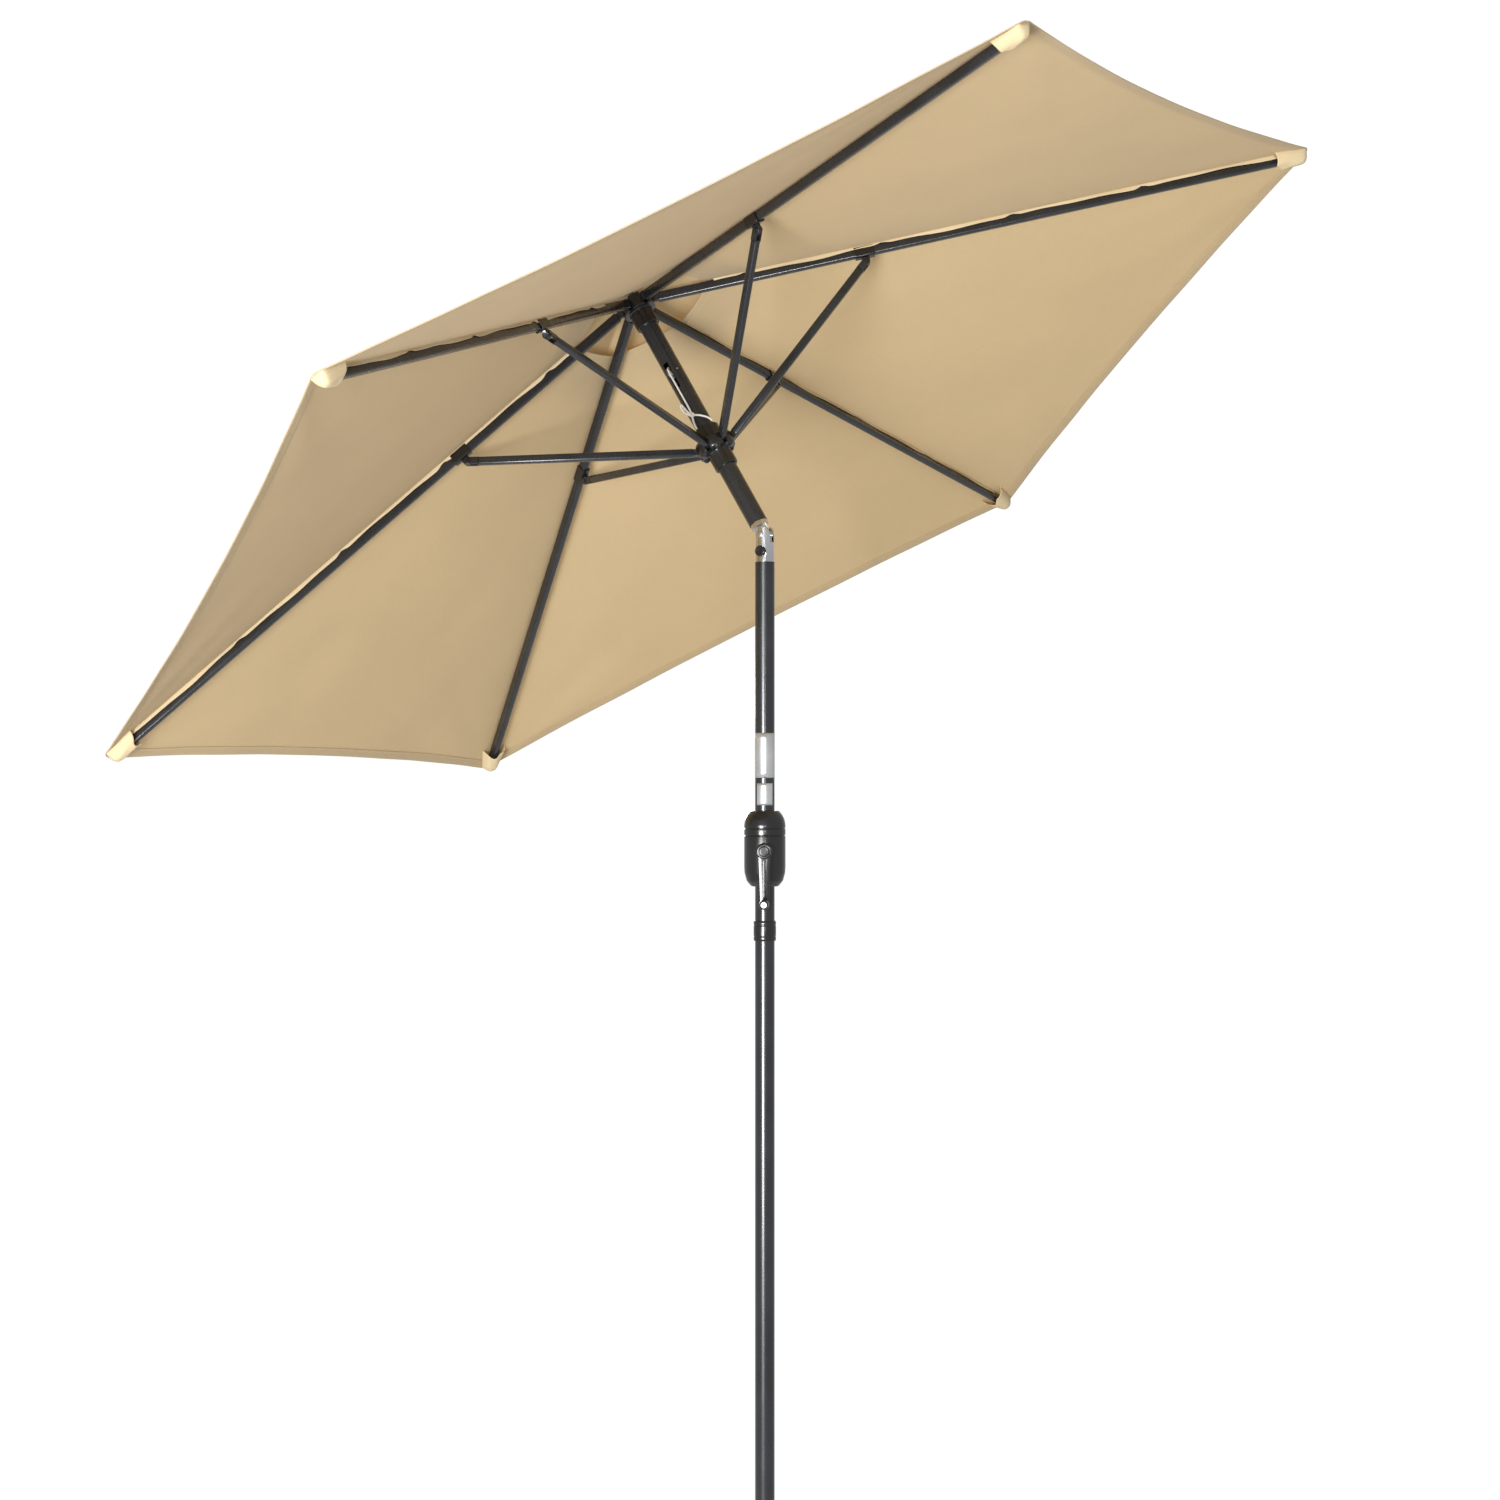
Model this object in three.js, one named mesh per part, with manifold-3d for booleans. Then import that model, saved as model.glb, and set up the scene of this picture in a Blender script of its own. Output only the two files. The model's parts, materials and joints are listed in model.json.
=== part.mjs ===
// Market umbrella with push-button tilt, crank lift and a weighted base.
// Millimetres, +Z up. The origin is the centre of the base's underside, and the tilt axis is along Y.

import * as THREE from 'three';
import { mergeVertices } from 'three/addons/utils/BufferGeometryUtils.js';
import Module from 'manifold-3d';

const wasm = await Module();
wasm.setup();

// ---- Driving dimensions ----

const GAP = 0.3; // left between touching pieces
const RUNNING = 0.3; // radial clearance of a turning pin
const ROUND_STEPS = 20;
const PIN_STEPS = 12;
const SMALL_STEPS = 8; // rivet heads and rounded ends

const TILT_HEIGHT = 1880; // tilt axis above the ground
const LEAN = 32.6; // degrees that the upper pole leans towards -X
const POLE_RADIUS = 16.3;
const POLE_WALL = 1.2;

const RIB_COUNT = 6;
const RIB_AZIMUTH = 32.4; // degrees from +X to the first rib, seen along the upper pole
const CROWN_HEIGHT = 474; // rib pins above the tilt axis, along the upper pole
const TIP_RADIUS = 1143; // canopy corner from the upper pole's axis
const TIP_DROP = 307; // canopy corner below the rib pins
const RUNNER_DROP = 293; // strut pins below the rib pins

const CROWN_PIN_STANDOFF = 7.7; // rib pins from the pole's surface
const CROWN_RIM = 6; // crown beyond its pins
const RUNNER_PIN_STANDOFF = 10.7; // strut pins from the pole's surface
const RUNNER_RIM = 7; // runner beyond its pins
const WIRE_RADIUS = 1.5;

const RIB_WIDTH = 12;
const RIB_HEIGHT = 17;
const RIB_WALL = 1;
const RIB_END_INSET = 20; // rib ends this far short of the canopy corner
const EYE_WIDTH = 8;
const EYE_RADIUS = 6;
const BRACKET_STATION = 376; // strut bracket from the rib pin, along the rib
const BRACKET_HANG = 10; // bracket pivot below the rib's underside
const BRACKET_LENGTH = 34;
const BRACKET_WALL = 2;
const LUG_WIDTH = 7.6;
const STRUT_WIDTH = 11;
const STRUT_HEIGHT = 14;
const STRUT_WALL = 1.4;
const STRUT_EYE_RADIUS = 6.5;
const STRUT_EYE_PLAY = 1.7; // radial play of the strut's eye on the runner's wire

const CANOPY_THICKNESS = 1.2;
const CANOPY_CLEARANCE = 2.3; // canopy's underside above the ribs
const HEM_SAG = 27; // inward curve of each hem
const VENT_RADIUS = 130; // the main canopy's top opening
const VENT_CAP_RADIUS = 230;
const VENT_CAP_RISE = 25; // vent cap above the canopy at the cap's edge
const VENT_CAP_TOP = 24;
const FINIAL_STUD_RADIUS = 4.5;

const SOCKET_SHOULDER = 1; // tilt castings within the pole's surface
const SOCKET_DEPTH = 40;
const MID_POLE_DROP = 46; // mid pole's top below the tilt axis
const UPPER_POLE_RISE = 22.8; // upper pole's lower end above the tilt axis
const TONGUE_RADIUS = 9;
const TONGUE_HALF_WIDTH = 5.7;
const CHEEK_RADIUS = 13;
const TILT_PIN_RADIUS = 4;
const BUTTON_RADIUS = 9;
const BUTTON_DROP = 28; // push button's centre below the tilt axis
const BUTTON_TRAVEL = 3;
const BUTTON_STANDOFF = 3.3; // button's face beyond the socket
const BUTTON_BORE_END = 4; // button's bore from the pole's axis

const HOUSING_TOP_DROP = 463;
const HOUSING_BOTTOM_DROP = 588;
const HOUSING_STANDOFF = 18.3; // crank housing beyond the pole's surface
const HOUSING_WALL = 3;
const CRANK_DROP = 529; // crank axis below the tilt axis
const CRANK_AZIMUTH = -60; // degrees from +X to the way that the handle faces
const CRANK_REACH = 87; // crank axis to the grip's axis
const GRIP_LENGTH = 45;
const GRIP_RADIUS = 8.5;
const SPOOL_RADIUS = 5;
const SPOOL_FLANGE_RADIUS = 10.5;
const SPOOL_HALF_WIDTH = 8;
const AXLE_RADIUS = 4.2;

const POLE_JOINT_DROP = 663; // where the mid pole meets the lower pole
const COLLAR_TOP_DROP = 646;
const COLLAR_BOTTOM_DROP = 680;
const COLLAR_WALL = 2.5; // with its clearance on the pole
const FERRULE_REACH = 78;

const PULLEY_DROP = 142; // pulley below the rib pins
const PULLEY_CORD_RADIUS = 9.8;
const PULLEY_FLANGE_RADIUS = 11;
const WINDOW_HALF_WIDTH = 4.8;
const CORD_RADIUS = 1.7;
const CORD_TURNS = 2; // turns left on the spool
const CORD_WINDING_GAP = 1.2; // under the cord, on the drum and in the pulley's groove

const BASE_RADIUS = 240;
const BASE_THICKNESS = 10;
const FOOT_PAD_RADIUS = 225;
const FOOT_PAD_THICKNESS = 3;
const BASE_TUBE_TOP = 235;
const BASE_TUBE_PLAY = 1;
const BASE_TUBE_WALL = 2.5;
const BASE_FLANGE_RADIUS = 45;
const BASE_FLOOR = 16; // thickness of the base tube's closed bottom
const CLAMP_HEIGHT = 195;
const STUD_RADIUS = 5;
const KNOB_RADIUS = 24;

// ---- Sizes worked out from them ----

const RAD = Math.PI / 180;
const POLE_BORE = POLE_RADIUS - POLE_WALL;
const CROWN_PIN_RADIUS = POLE_RADIUS + CROWN_PIN_STANDOFF;
const CROWN_RADIUS = CROWN_PIN_RADIUS + CROWN_RIM;
const RUNNER_PIN_RADIUS = POLE_RADIUS + RUNNER_PIN_STANDOFF;
const RUNNER_RADIUS = RUNNER_PIN_RADIUS + RUNNER_RIM;
const SOCKET_RADIUS = POLE_RADIUS - SOCKET_SHOULDER;
const TILT_CUT = SOCKET_RADIUS + 5; // half length of the cuts through the tilt castings
const POLE_CUT = POLE_RADIUS + 4;
const HOUSING_RADIUS = POLE_RADIUS + HOUSING_STANDOFF;
const COLLAR_RADIUS = POLE_RADIUS + COLLAR_WALL;
const BRACKET_OFFSET = RIB_HEIGHT / 2 + BRACKET_HANG; // pivot below the rib's centre line
const CANOPY_LIFT = RIB_HEIGHT / 2 + CANOPY_CLEARANCE; // above the ribs' centre lines
const PLUG_RADIUS = POLE_BORE - GAP;
const RIB_PITCH = (2 * Math.PI) / RIB_COUNT;
const RIB_SLOPE = Math.atan2(TIP_DROP, TIP_RADIUS - CROWN_PIN_RADIUS);
const RIB_LENGTH = (TIP_RADIUS - RIB_END_INSET - CROWN_PIN_RADIUS) / Math.cos(RIB_SLOPE);
const CORD_OFFSET = TONGUE_RADIUS + GAP + CORD_RADIUS; // cord's path beside the tilt axis
const PULLEY_DEPTH = POLE_RADIUS + 0.5 + CORD_RADIUS - PULLEY_CORD_RADIUS;
const CROWN_TOP = 12; // crown above the rib pins
const CROWN_BOTTOM = 14; // hub of the crown below them

// ---- Solids ----

/** Merge shared vertices of a geometry and drop the triangles that collapse. */
function closedMesh(geometry) {
  const plain = new THREE.BufferGeometry();
  plain.setAttribute('position', geometry.getAttribute('position').clone());
  if (geometry.index) plain.setIndex(geometry.index.clone());
  const merged = mergeVertices(plain, 1e-4);
  const corners = merged.index.array;
  const kept = [];
  for (let i = 0; i < corners.length; i += 3) {
    const [a, b, c] = [corners[i], corners[i + 1], corners[i + 2]];
    if (a !== b && b !== c && c !== a) kept.push(a, b, c);
  }
  merged.setIndex(kept);
  return merged;
}

/** A manifold-3d solid of a closed geometry, whichever way its faces point. */
function solidOf(geometry) {
  const mesh = closedMesh(geometry);
  const triVerts = Uint32Array.from(mesh.index.array);
  const vertProperties = Float32Array.from(mesh.getAttribute('position').array);
  let volume = 0;
  const [a, b, c] = [new THREE.Vector3(), new THREE.Vector3(), new THREE.Vector3()];
  for (let i = 0; i < triVerts.length; i += 3) {
    a.fromArray(vertProperties, 3 * triVerts[i]);
    b.fromArray(vertProperties, 3 * triVerts[i + 1]);
    c.fromArray(vertProperties, 3 * triVerts[i + 2]);
    volume += a.dot(b.cross(c));
  }
  if (volume < 0) triVerts.reverse();
  return new wasm.Manifold(new wasm.Mesh({ numProp: 3, vertProperties, triVerts }));
}

function geometryOf(solid) {
  const mesh = solid.getMesh();
  const geometry = new THREE.BufferGeometry();
  geometry.setAttribute('position', new THREE.BufferAttribute(Float32Array.from(mesh.vertProperties), 3));
  geometry.setIndex(Array.from(mesh.triVerts));
  return geometry;
}

/** Turn a closed outline of [radius, height] pairs about Z. */
function turned(outline, steps = ROUND_STEPS, start = 0) {
  const points = [...outline, outline[0]].map(([r, z]) => new THREE.Vector2(r, z));
  return solidOf(new THREE.LatheGeometry(points, steps, start).rotateX(Math.PI / 2));
}

function ring(inner, outer, bottom, top, steps = ROUND_STEPS) {
  return turned([[inner, bottom], [outer, bottom], [outer, top], [inner, top]], steps);
}

function rod(radius, bottom, top, steps = PIN_STEPS) {
  return ring(0, radius, bottom, top, steps);
}

/** Lay a solid made along Z along X or Y instead. */
function alongX(solid) {
  return solid.rotate([0, 90, 0]);
}

function alongY(solid) {
  return solid.rotate([-90, 0, 0]);
}

function block(x0, x1, y0, y1, z0, z1) {
  const box = new THREE.BoxGeometry(x1 - x0, y1 - y0, z1 - z0);
  return solidOf(box.translate((x0 + x1) / 2, (y0 + y1) / 2, (z0 + z1) / 2));
}

function roundedOutline(width, height, radius) {
  const [w, h] = [width / 2, height / 2];
  const outline = new THREE.Shape();
  outline.absarc(w - radius, h - radius, radius, 0, Math.PI / 2);
  outline.absarc(radius - w, h - radius, radius, Math.PI / 2, Math.PI);
  outline.absarc(radius - w, radius - h, radius, Math.PI, 1.5 * Math.PI);
  outline.absarc(w - radius, radius - h, radius, 1.5 * Math.PI, 2 * Math.PI);
  outline.closePath();
  return outline;
}

/** A bar of rounded section along +X, its width along Y and its height along Z. */
function bar(width, height, radius, from, to) {
  const options = { depth: to - from, bevelEnabled: false, curveSegments: 1 };
  const geometry = new THREE.ExtrudeGeometry(roundedOutline(height, width, radius), options);
  return solidOf(geometry.rotateY(Math.PI / 2).translate(from, 0, 0));
}

function boxTube(width, height, wall, from, to) {
  const bore = bar(width - 2 * wall, height - 2 * wall, 1.4, from - 1, to + 1);
  return bar(width, height, 2.4, from, to).subtract(bore);
}

/** A round bar along a smooth curve through the points. */
function bentRod(points, radius, sides, steps) {
  const section = new THREE.Shape();
  for (let i = 0; i < sides; i += 1) {
    const turn = (2 * Math.PI * i) / sides;
    const [x, y] = [radius * Math.cos(turn), radius * Math.sin(turn)];
    if (i === 0) section.moveTo(x, y);
    else section.lineTo(x, y);
  }
  section.closePath();
  const extrudePath = new THREE.CatmullRomCurve3(points, false, 'centripetal');
  return solidOf(new THREE.ExtrudeGeometry(section, { steps, extrudePath, bevelEnabled: false }));
}

/** Points of a helix about X, from one station to another. */
function helixPoints(radius, from, to, turns, stepsPerTurn, startTurn = 0) {
  const count = turns * stepsPerTurn;
  const points = [];
  for (let i = 0; i <= count; i += 1) {
    const turn = startTurn + (2 * Math.PI * i) / stepsPerTurn;
    const x = from + ((to - from) * i) / count;
    points.push(new THREE.Vector3(x, radius * Math.sin(turn), -radius * Math.cos(turn)));
  }
  return points;
}

// ---- Finishes ----

function finish(color, roughness, metalness) {
  return { color, roughness, metalness };
}

const FRAME_PAINT = finish(0x18191b, 0.45, 0.5);
const BLACK_PLASTIC = finish(0x141416, 0.5, 0);
const CAST_CHROME = finish(0xb9bcc0, 0.2, 1);
const STEEL = finish(0x9a9da1, 0.3, 1);
const RUBBER = finish(0x1b1b1b, 0.9, 0);
const CORD_WHITE = finish(0xe8e6df, 0.85, 0);
const CANVAS = finish(0xd6c098, 0.9, 0);

function piece(name, solid, material) {
  const mesh = new THREE.Mesh(geometryOf(solid), new THREE.MeshStandardMaterial(material));
  mesh.name = name;
  return mesh;
}

// ---- Base ----

const PLATE_BOTTOM = FOOT_PAD_THICKNESS + GAP;
const PLATE_TOP = PLATE_BOTTOM + BASE_THICKNESS;
const TUBE_BOTTOM = PLATE_TOP + GAP;
const TUBE_BORE = POLE_RADIUS + BASE_TUBE_PLAY;
const TUBE_RADIUS = TUBE_BORE + BASE_TUBE_WALL;
const TUBE_FLOOR = TUBE_BOTTOM + BASE_FLOOR;
const BOLT_RADIUS = 6;
const BOLT_HEAD_RADIUS = 10;
const BOLT_HEAD_HEIGHT = 5;
const BOSS_REACH = 30;
const KNOB_INNER = BOSS_REACH + 6;
const KNOB_THICKNESS = 20;

function makeBase() {
  const group = new THREE.Group();
  const rim = 4;
  const plate = turned([
    [0, PLATE_BOTTOM],
    [BASE_RADIUS - 1, PLATE_BOTTOM],
    [BASE_RADIUS, PLATE_BOTTOM + 1],
    [BASE_RADIUS, PLATE_TOP - rim],
    [BASE_RADIUS - rim / 3, PLATE_TOP - rim / 3],
    [BASE_RADIUS - rim, PLATE_TOP],
    [0, PLATE_TOP],
  ], 36);
  const boltHole = rod(BOLT_RADIUS + GAP, 0, TUBE_FLOOR + 1);
  const headRecess = rod(BOLT_HEAD_RADIUS + GAP, 0, PLATE_BOTTOM + BOLT_HEAD_HEIGHT + GAP);
  group.add(piece('base_plate', plate.subtract(boltHole).subtract(headRecess), FRAME_PAINT));
  group.add(piece('base_foot_pad', rod(FOOT_PAD_RADIUS, 0, FOOT_PAD_THICKNESS, 36), RUBBER));

  const boltTop = TUBE_FLOOR - 2;
  const bolt = rod(BOLT_HEAD_RADIUS, PLATE_BOTTOM, PLATE_BOTTOM + BOLT_HEAD_HEIGHT, 6)
    .add(rod(BOLT_RADIUS, PLATE_BOTTOM, boltTop));
  group.add(piece('base_bolt', bolt, STEEL));

  const flangeTop = TUBE_BOTTOM + 5;
  const tube = turned([
    [0, TUBE_BOTTOM],
    [BASE_FLANGE_RADIUS, TUBE_BOTTOM],
    [BASE_FLANGE_RADIUS, flangeTop - 2],
    [BASE_FLANGE_RADIUS - 2, flangeTop],
    [TUBE_RADIUS + 4, flangeTop],
    [TUBE_RADIUS, flangeTop + 5],
    [TUBE_RADIUS, BASE_TUBE_TOP],
    [0, BASE_TUBE_TOP],
  ]);
  const boss = alongX(rod(10, TUBE_RADIUS - 4, BOSS_REACH, 16)).rotate([0, 0, CRANK_AZIMUTH]);
  const studHole = alongX(rod(STUD_RADIUS + RUNNING, 0, BOSS_REACH + 1)).rotate([0, 0, CRANK_AZIMUTH]);
  const baseTube = tube
    .add(boss.translate([0, 0, CLAMP_HEIGHT]))
    .subtract(rod(TUBE_BORE, TUBE_FLOOR, BASE_TUBE_TOP + 1, ROUND_STEPS))
    .subtract(studHole.translate([0, 0, CLAMP_HEIGHT]))
    .subtract(boltHole);
  group.add(piece('base_tube', baseTube, FRAME_PAINT));

  const clamp = new THREE.Group();
  clamp.position.z = CLAMP_HEIGHT;
  clamp.rotation.z = CRANK_AZIMUTH * RAD;
  const studEnd = KNOB_INNER + 12;
  const stud = alongX(rod(STUD_RADIUS, POLE_RADIUS + GAP, studEnd));
  clamp.add(piece('clamp_stud', stud, STEEL));
  let knob = rod(KNOB_RADIUS * 0.85, KNOB_INNER, KNOB_INNER + KNOB_THICKNESS, 20);
  for (let lobe = 0; lobe < 5; lobe += 1) {
    const turn = (2 * Math.PI * lobe) / 5;
    const [x, y] = [0.62 * KNOB_RADIUS * Math.cos(turn), 0.62 * KNOB_RADIUS * Math.sin(turn)];
    const lobeRod = rod(0.38 * KNOB_RADIUS, KNOB_INNER, KNOB_INNER + KNOB_THICKNESS, 10);
    knob = knob.add(lobeRod.translate([x, y, 0]));
  }
  const neck = rod(9, KNOB_INNER - 3, KNOB_INNER + 1, 16);
  const socket = rod(STUD_RADIUS + GAP, KNOB_INNER - 4, studEnd + GAP);
  clamp.add(piece('clamp_knob', alongX(knob.add(neck).subtract(socket)), BLACK_PLASTIC));
  group.add(clamp);
  return group;
}

// ---- Poles below the tilt axis ----

const POLE_FOOT = TUBE_FLOOR + GAP;

function makePoles() {
  const group = new THREE.Group();
  const jointHeight = TILT_HEIGHT - POLE_JOINT_DROP;
  const plug = rod(POLE_RADIUS, POLE_FOOT, POLE_FOOT + 3, ROUND_STEPS)
    .add(rod(PLUG_RADIUS, POLE_FOOT, POLE_FOOT + 25, ROUND_STEPS));
  group.add(piece('lower_pole_plug', plug, BLACK_PLASTIC));
  const lower = ring(POLE_BORE, POLE_RADIUS, POLE_FOOT + 3 + GAP, jointHeight - GAP);
  group.add(piece('lower_pole', lower, FRAME_PAINT));

  const crankHeight = TILT_HEIGHT - CRANK_DROP;
  const axleHole = alongX(rod(AXLE_RADIUS + 2 * RUNNING, -POLE_RADIUS - 1, POLE_RADIUS + 1))
    .rotate([0, 0, CRANK_AZIMUTH])
    .translate([0, 0, crankHeight]);
  const mid = ring(POLE_BORE, POLE_RADIUS, jointHeight, TILT_HEIGHT - MID_POLE_DROP).subtract(axleHole);
  group.add(piece('mid_pole', mid, FRAME_PAINT));

  const ferrule = ring(PLUG_RADIUS - 2, PLUG_RADIUS, jointHeight - FERRULE_REACH, jointHeight + FERRULE_REACH);
  group.add(piece('pole_ferrule', ferrule, STEEL));

  const bore = POLE_RADIUS + GAP;
  const [bottom, top] = [TILT_HEIGHT - COLLAR_BOTTOM_DROP, TILT_HEIGHT - COLLAR_TOP_DROP];
  const collar = turned([
    [bore, bottom],
    [COLLAR_RADIUS - 1.2, bottom],
    [COLLAR_RADIUS, bottom + 3],
    [COLLAR_RADIUS, top - 3],
    [COLLAR_RADIUS - 1.2, top],
    [bore, top],
  ]);
  group.add(piece('pole_collar', collar, BLACK_PLASTIC));
  return group;
}

// ---- Crank, in a frame on the crank axis with +X out of the housing's front ----

const FRONT_BOSS_REACH = HOUSING_RADIUS + 3.4;
const FRONT_BOSS_INNER = POLE_RADIUS + 7.7;
const HANDLE_INNER = FRONT_BOSS_REACH + GAP;
const HANDLE_OUTER = HANDLE_INNER + 11.5;
const ARM_INNER = HANDLE_INNER + 2;
const ARM_OUTER = ARM_INNER + 7;
const JOURNAL_REACH = POLE_RADIUS + 3.7; // spool's rear journal
const BRAKE_SPRING_INNER = POLE_RADIUS + 2.2;
const BRAKE_SPRING_LENGTH = 4;
const SCREW_SIDE = POLE_RADIUS + 7.7; // lower screw beside the pole's axis

function housingBarrel(inset) {
  const [bottom, top] = [CRANK_DROP - HOUSING_BOTTOM_DROP, CRANK_DROP - HOUSING_TOP_DROP];
  const [radius, low, high] = [HOUSING_RADIUS - inset, bottom + 31, top - 24];
  const outline = [[0, bottom + inset], [radius * 0.66, bottom + inset]];
  for (const share of [0.35, 0.7, 1]) {
    const turn = (share * Math.PI) / 2;
    const reach = (low - bottom - inset) * Math.sin(turn);
    outline.push([radius * (0.66 + 0.34 * Math.sin(turn)), bottom + inset + reach]);
  }
  for (const share of [1, 0.7, 0.35, 0]) {
    const turn = (share * Math.PI) / 2;
    outline.push([radius * (0.7 + 0.3 * Math.sin(turn)), top - inset - (top - inset - high) * Math.sin(turn)]);
  }
  outline.push([0, top - inset]);
  return turned(outline);
}

function makeCrank() {
  const group = new THREE.Group();
  group.position.z = TILT_HEIGHT - CRANK_DROP;
  group.rotation.z = CRANK_AZIMUTH * RAD;

  const [bottom, top] = [CRANK_DROP - HOUSING_BOTTOM_DROP, CRANK_DROP - HOUSING_TOP_DROP];
  const screws = [['upper', top - 22, SCREW_SIDE + 1], ['lower', bottom + 18, -SCREW_SIDE]];
  const poleBore = rod(POLE_RADIUS + GAP, bottom - 1, top + 1, ROUND_STEPS);
  let shell = housingBarrel(0).subtract(housingBarrel(HOUSING_WALL));
  shell = shell.add(alongX(rod(14, FRONT_BOSS_INNER, FRONT_BOSS_REACH, 20)));
  shell = shell.add(alongX(rod(8, -HOUSING_RADIUS + 1, -JOURNAL_REACH + 6, 16)));
  for (const [, height, side] of screws) {
    const post = alongX(rod(4.5, -24, 24)).translate([0, side, height]);
    shell = shell.add(post.intersect(housingBarrel(1)));
  }
  shell = shell.subtract(poleBore);
  shell = shell.subtract(alongX(rod(AXLE_RADIUS + RUNNING, 0, FRONT_BOSS_REACH + 1, 16)));
  shell = shell.subtract(alongX(rod(AXLE_RADIUS + RUNNING, -JOURNAL_REACH - 1, 0, 16)));
  for (const [, height, side] of screws) {
    shell = shell.subtract(alongX(rod(2.3, -40, 18)).translate([0, side, height]));
    shell = shell.subtract(alongX(rod(4.3, -40, -19)).translate([0, side, height]));
  }
  const reach = HOUSING_RADIUS + 5;
  const front = shell.intersect(block(GAP / 2, reach, -reach, reach, bottom - 1, top + 1));
  const rear = shell.intersect(block(-reach, -GAP / 2, -reach, reach, bottom - 1, top + 1));
  group.add(piece('housing_front', front, BLACK_PLASTIC));
  group.add(piece('housing_rear', rear, BLACK_PLASTIC));
  for (const [name, height, side] of screws) {
    const screw = alongX(rod(2, -19.5, 16, 10).add(rod(4, -22.5, -19.3, 10)));
    group.add(piece(`housing_screw_${name}`, screw.translate([0, side, height]), STEEL));
  }

  const flange = SPOOL_HALF_WIDTH + 1.5;
  const spool = turned([
    [0, -JOURNAL_REACH],
    [AXLE_RADIUS, -JOURNAL_REACH],
    [AXLE_RADIUS, -flange],
    [SPOOL_FLANGE_RADIUS, -flange],
    [SPOOL_FLANGE_RADIUS, -SPOOL_HALF_WIDTH],
    [SPOOL_RADIUS, -SPOOL_HALF_WIDTH],
    [SPOOL_RADIUS, SPOOL_HALF_WIDTH],
    [SPOOL_FLANGE_RADIUS, SPOOL_HALF_WIDTH],
    [SPOOL_FLANGE_RADIUS, flange],
    [AXLE_RADIUS, flange],
    [AXLE_RADIUS, HANDLE_OUTER - 1],
    [0, HANDLE_OUTER - 1],
  ], 20);
  group.add(piece('crank_spool', alongX(spool), STEEL));

  const springOuter = BRAKE_SPRING_INNER + BRAKE_SPRING_LENGTH;
  const spring = bentRod(helixPoints(6.2, BRAKE_SPRING_INNER, springOuter, 3, 8), 0.6, 6, 24);
  group.add(piece('brake_spring', spring, STEEL));

  const arm = new THREE.Shape();
  const [wide, narrow] = [11, 7.5];
  arm.moveTo(wide, 0);
  arm.lineTo(narrow, -CRANK_REACH);
  arm.absarc(0, -CRANK_REACH, narrow, 0, -Math.PI, true);
  arm.lineTo(-wide, 0);
  arm.closePath();
  const armOptions = { depth: ARM_OUTER - ARM_INNER, bevelEnabled: false, curveSegments: 6 };
  const armPlate = new THREE.ExtrudeGeometry(arm, armOptions).rotateX(Math.PI / 2).rotateZ(Math.PI / 2);
  const handle = solidOf(armPlate.translate(ARM_INNER, 0, 0))
    .add(alongX(rod(13, HANDLE_INNER, HANDLE_OUTER, 20)))
    .subtract(alongX(rod(AXLE_RADIUS + GAP, HANDLE_INNER - 1, HANDLE_OUTER + 1)))
    .subtract(alongX(rod(3.3, 0, HANDLE_OUTER + 1)).translate([0, 0, -CRANK_REACH]));
  group.add(piece('crank_handle', handle, BLACK_PLASTIC));
  const capInner = HANDLE_OUTER + GAP;
  group.add(piece('crank_cap', alongX(rod(9, capInner, capInner + 2.2, 20)), BLACK_PLASTIC));

  const gripInner = ARM_OUTER + 2 * GAP;
  const gripOuter = gripInner + GRIP_LENGTH;
  const grip = turned([
    [3 + RUNNING, gripInner],
    [GRIP_RADIUS - 1.5, gripInner],
    [GRIP_RADIUS - 0.5, gripInner + 8],
    [GRIP_RADIUS, gripOuter - 8],
    [GRIP_RADIUS - 0.8, gripOuter - 2],
    [GRIP_RADIUS - 2.5, gripOuter],
    [3 + RUNNING, gripOuter],
  ], 16);
  group.add(piece('crank_grip', alongX(grip).translate([0, 0, -CRANK_REACH]), BLACK_PLASTIC));
  const gripPin = rod(3, ARM_INNER, gripOuter + 1).add(rod(5, gripOuter + 2 * GAP, gripOuter + 2.5));
  group.add(piece('grip_pin', alongX(gripPin).translate([0, 0, -CRANK_REACH]), STEEL));
  return group;
}

// ---- Tilt joint, in a frame on the tilt axis ----

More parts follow.
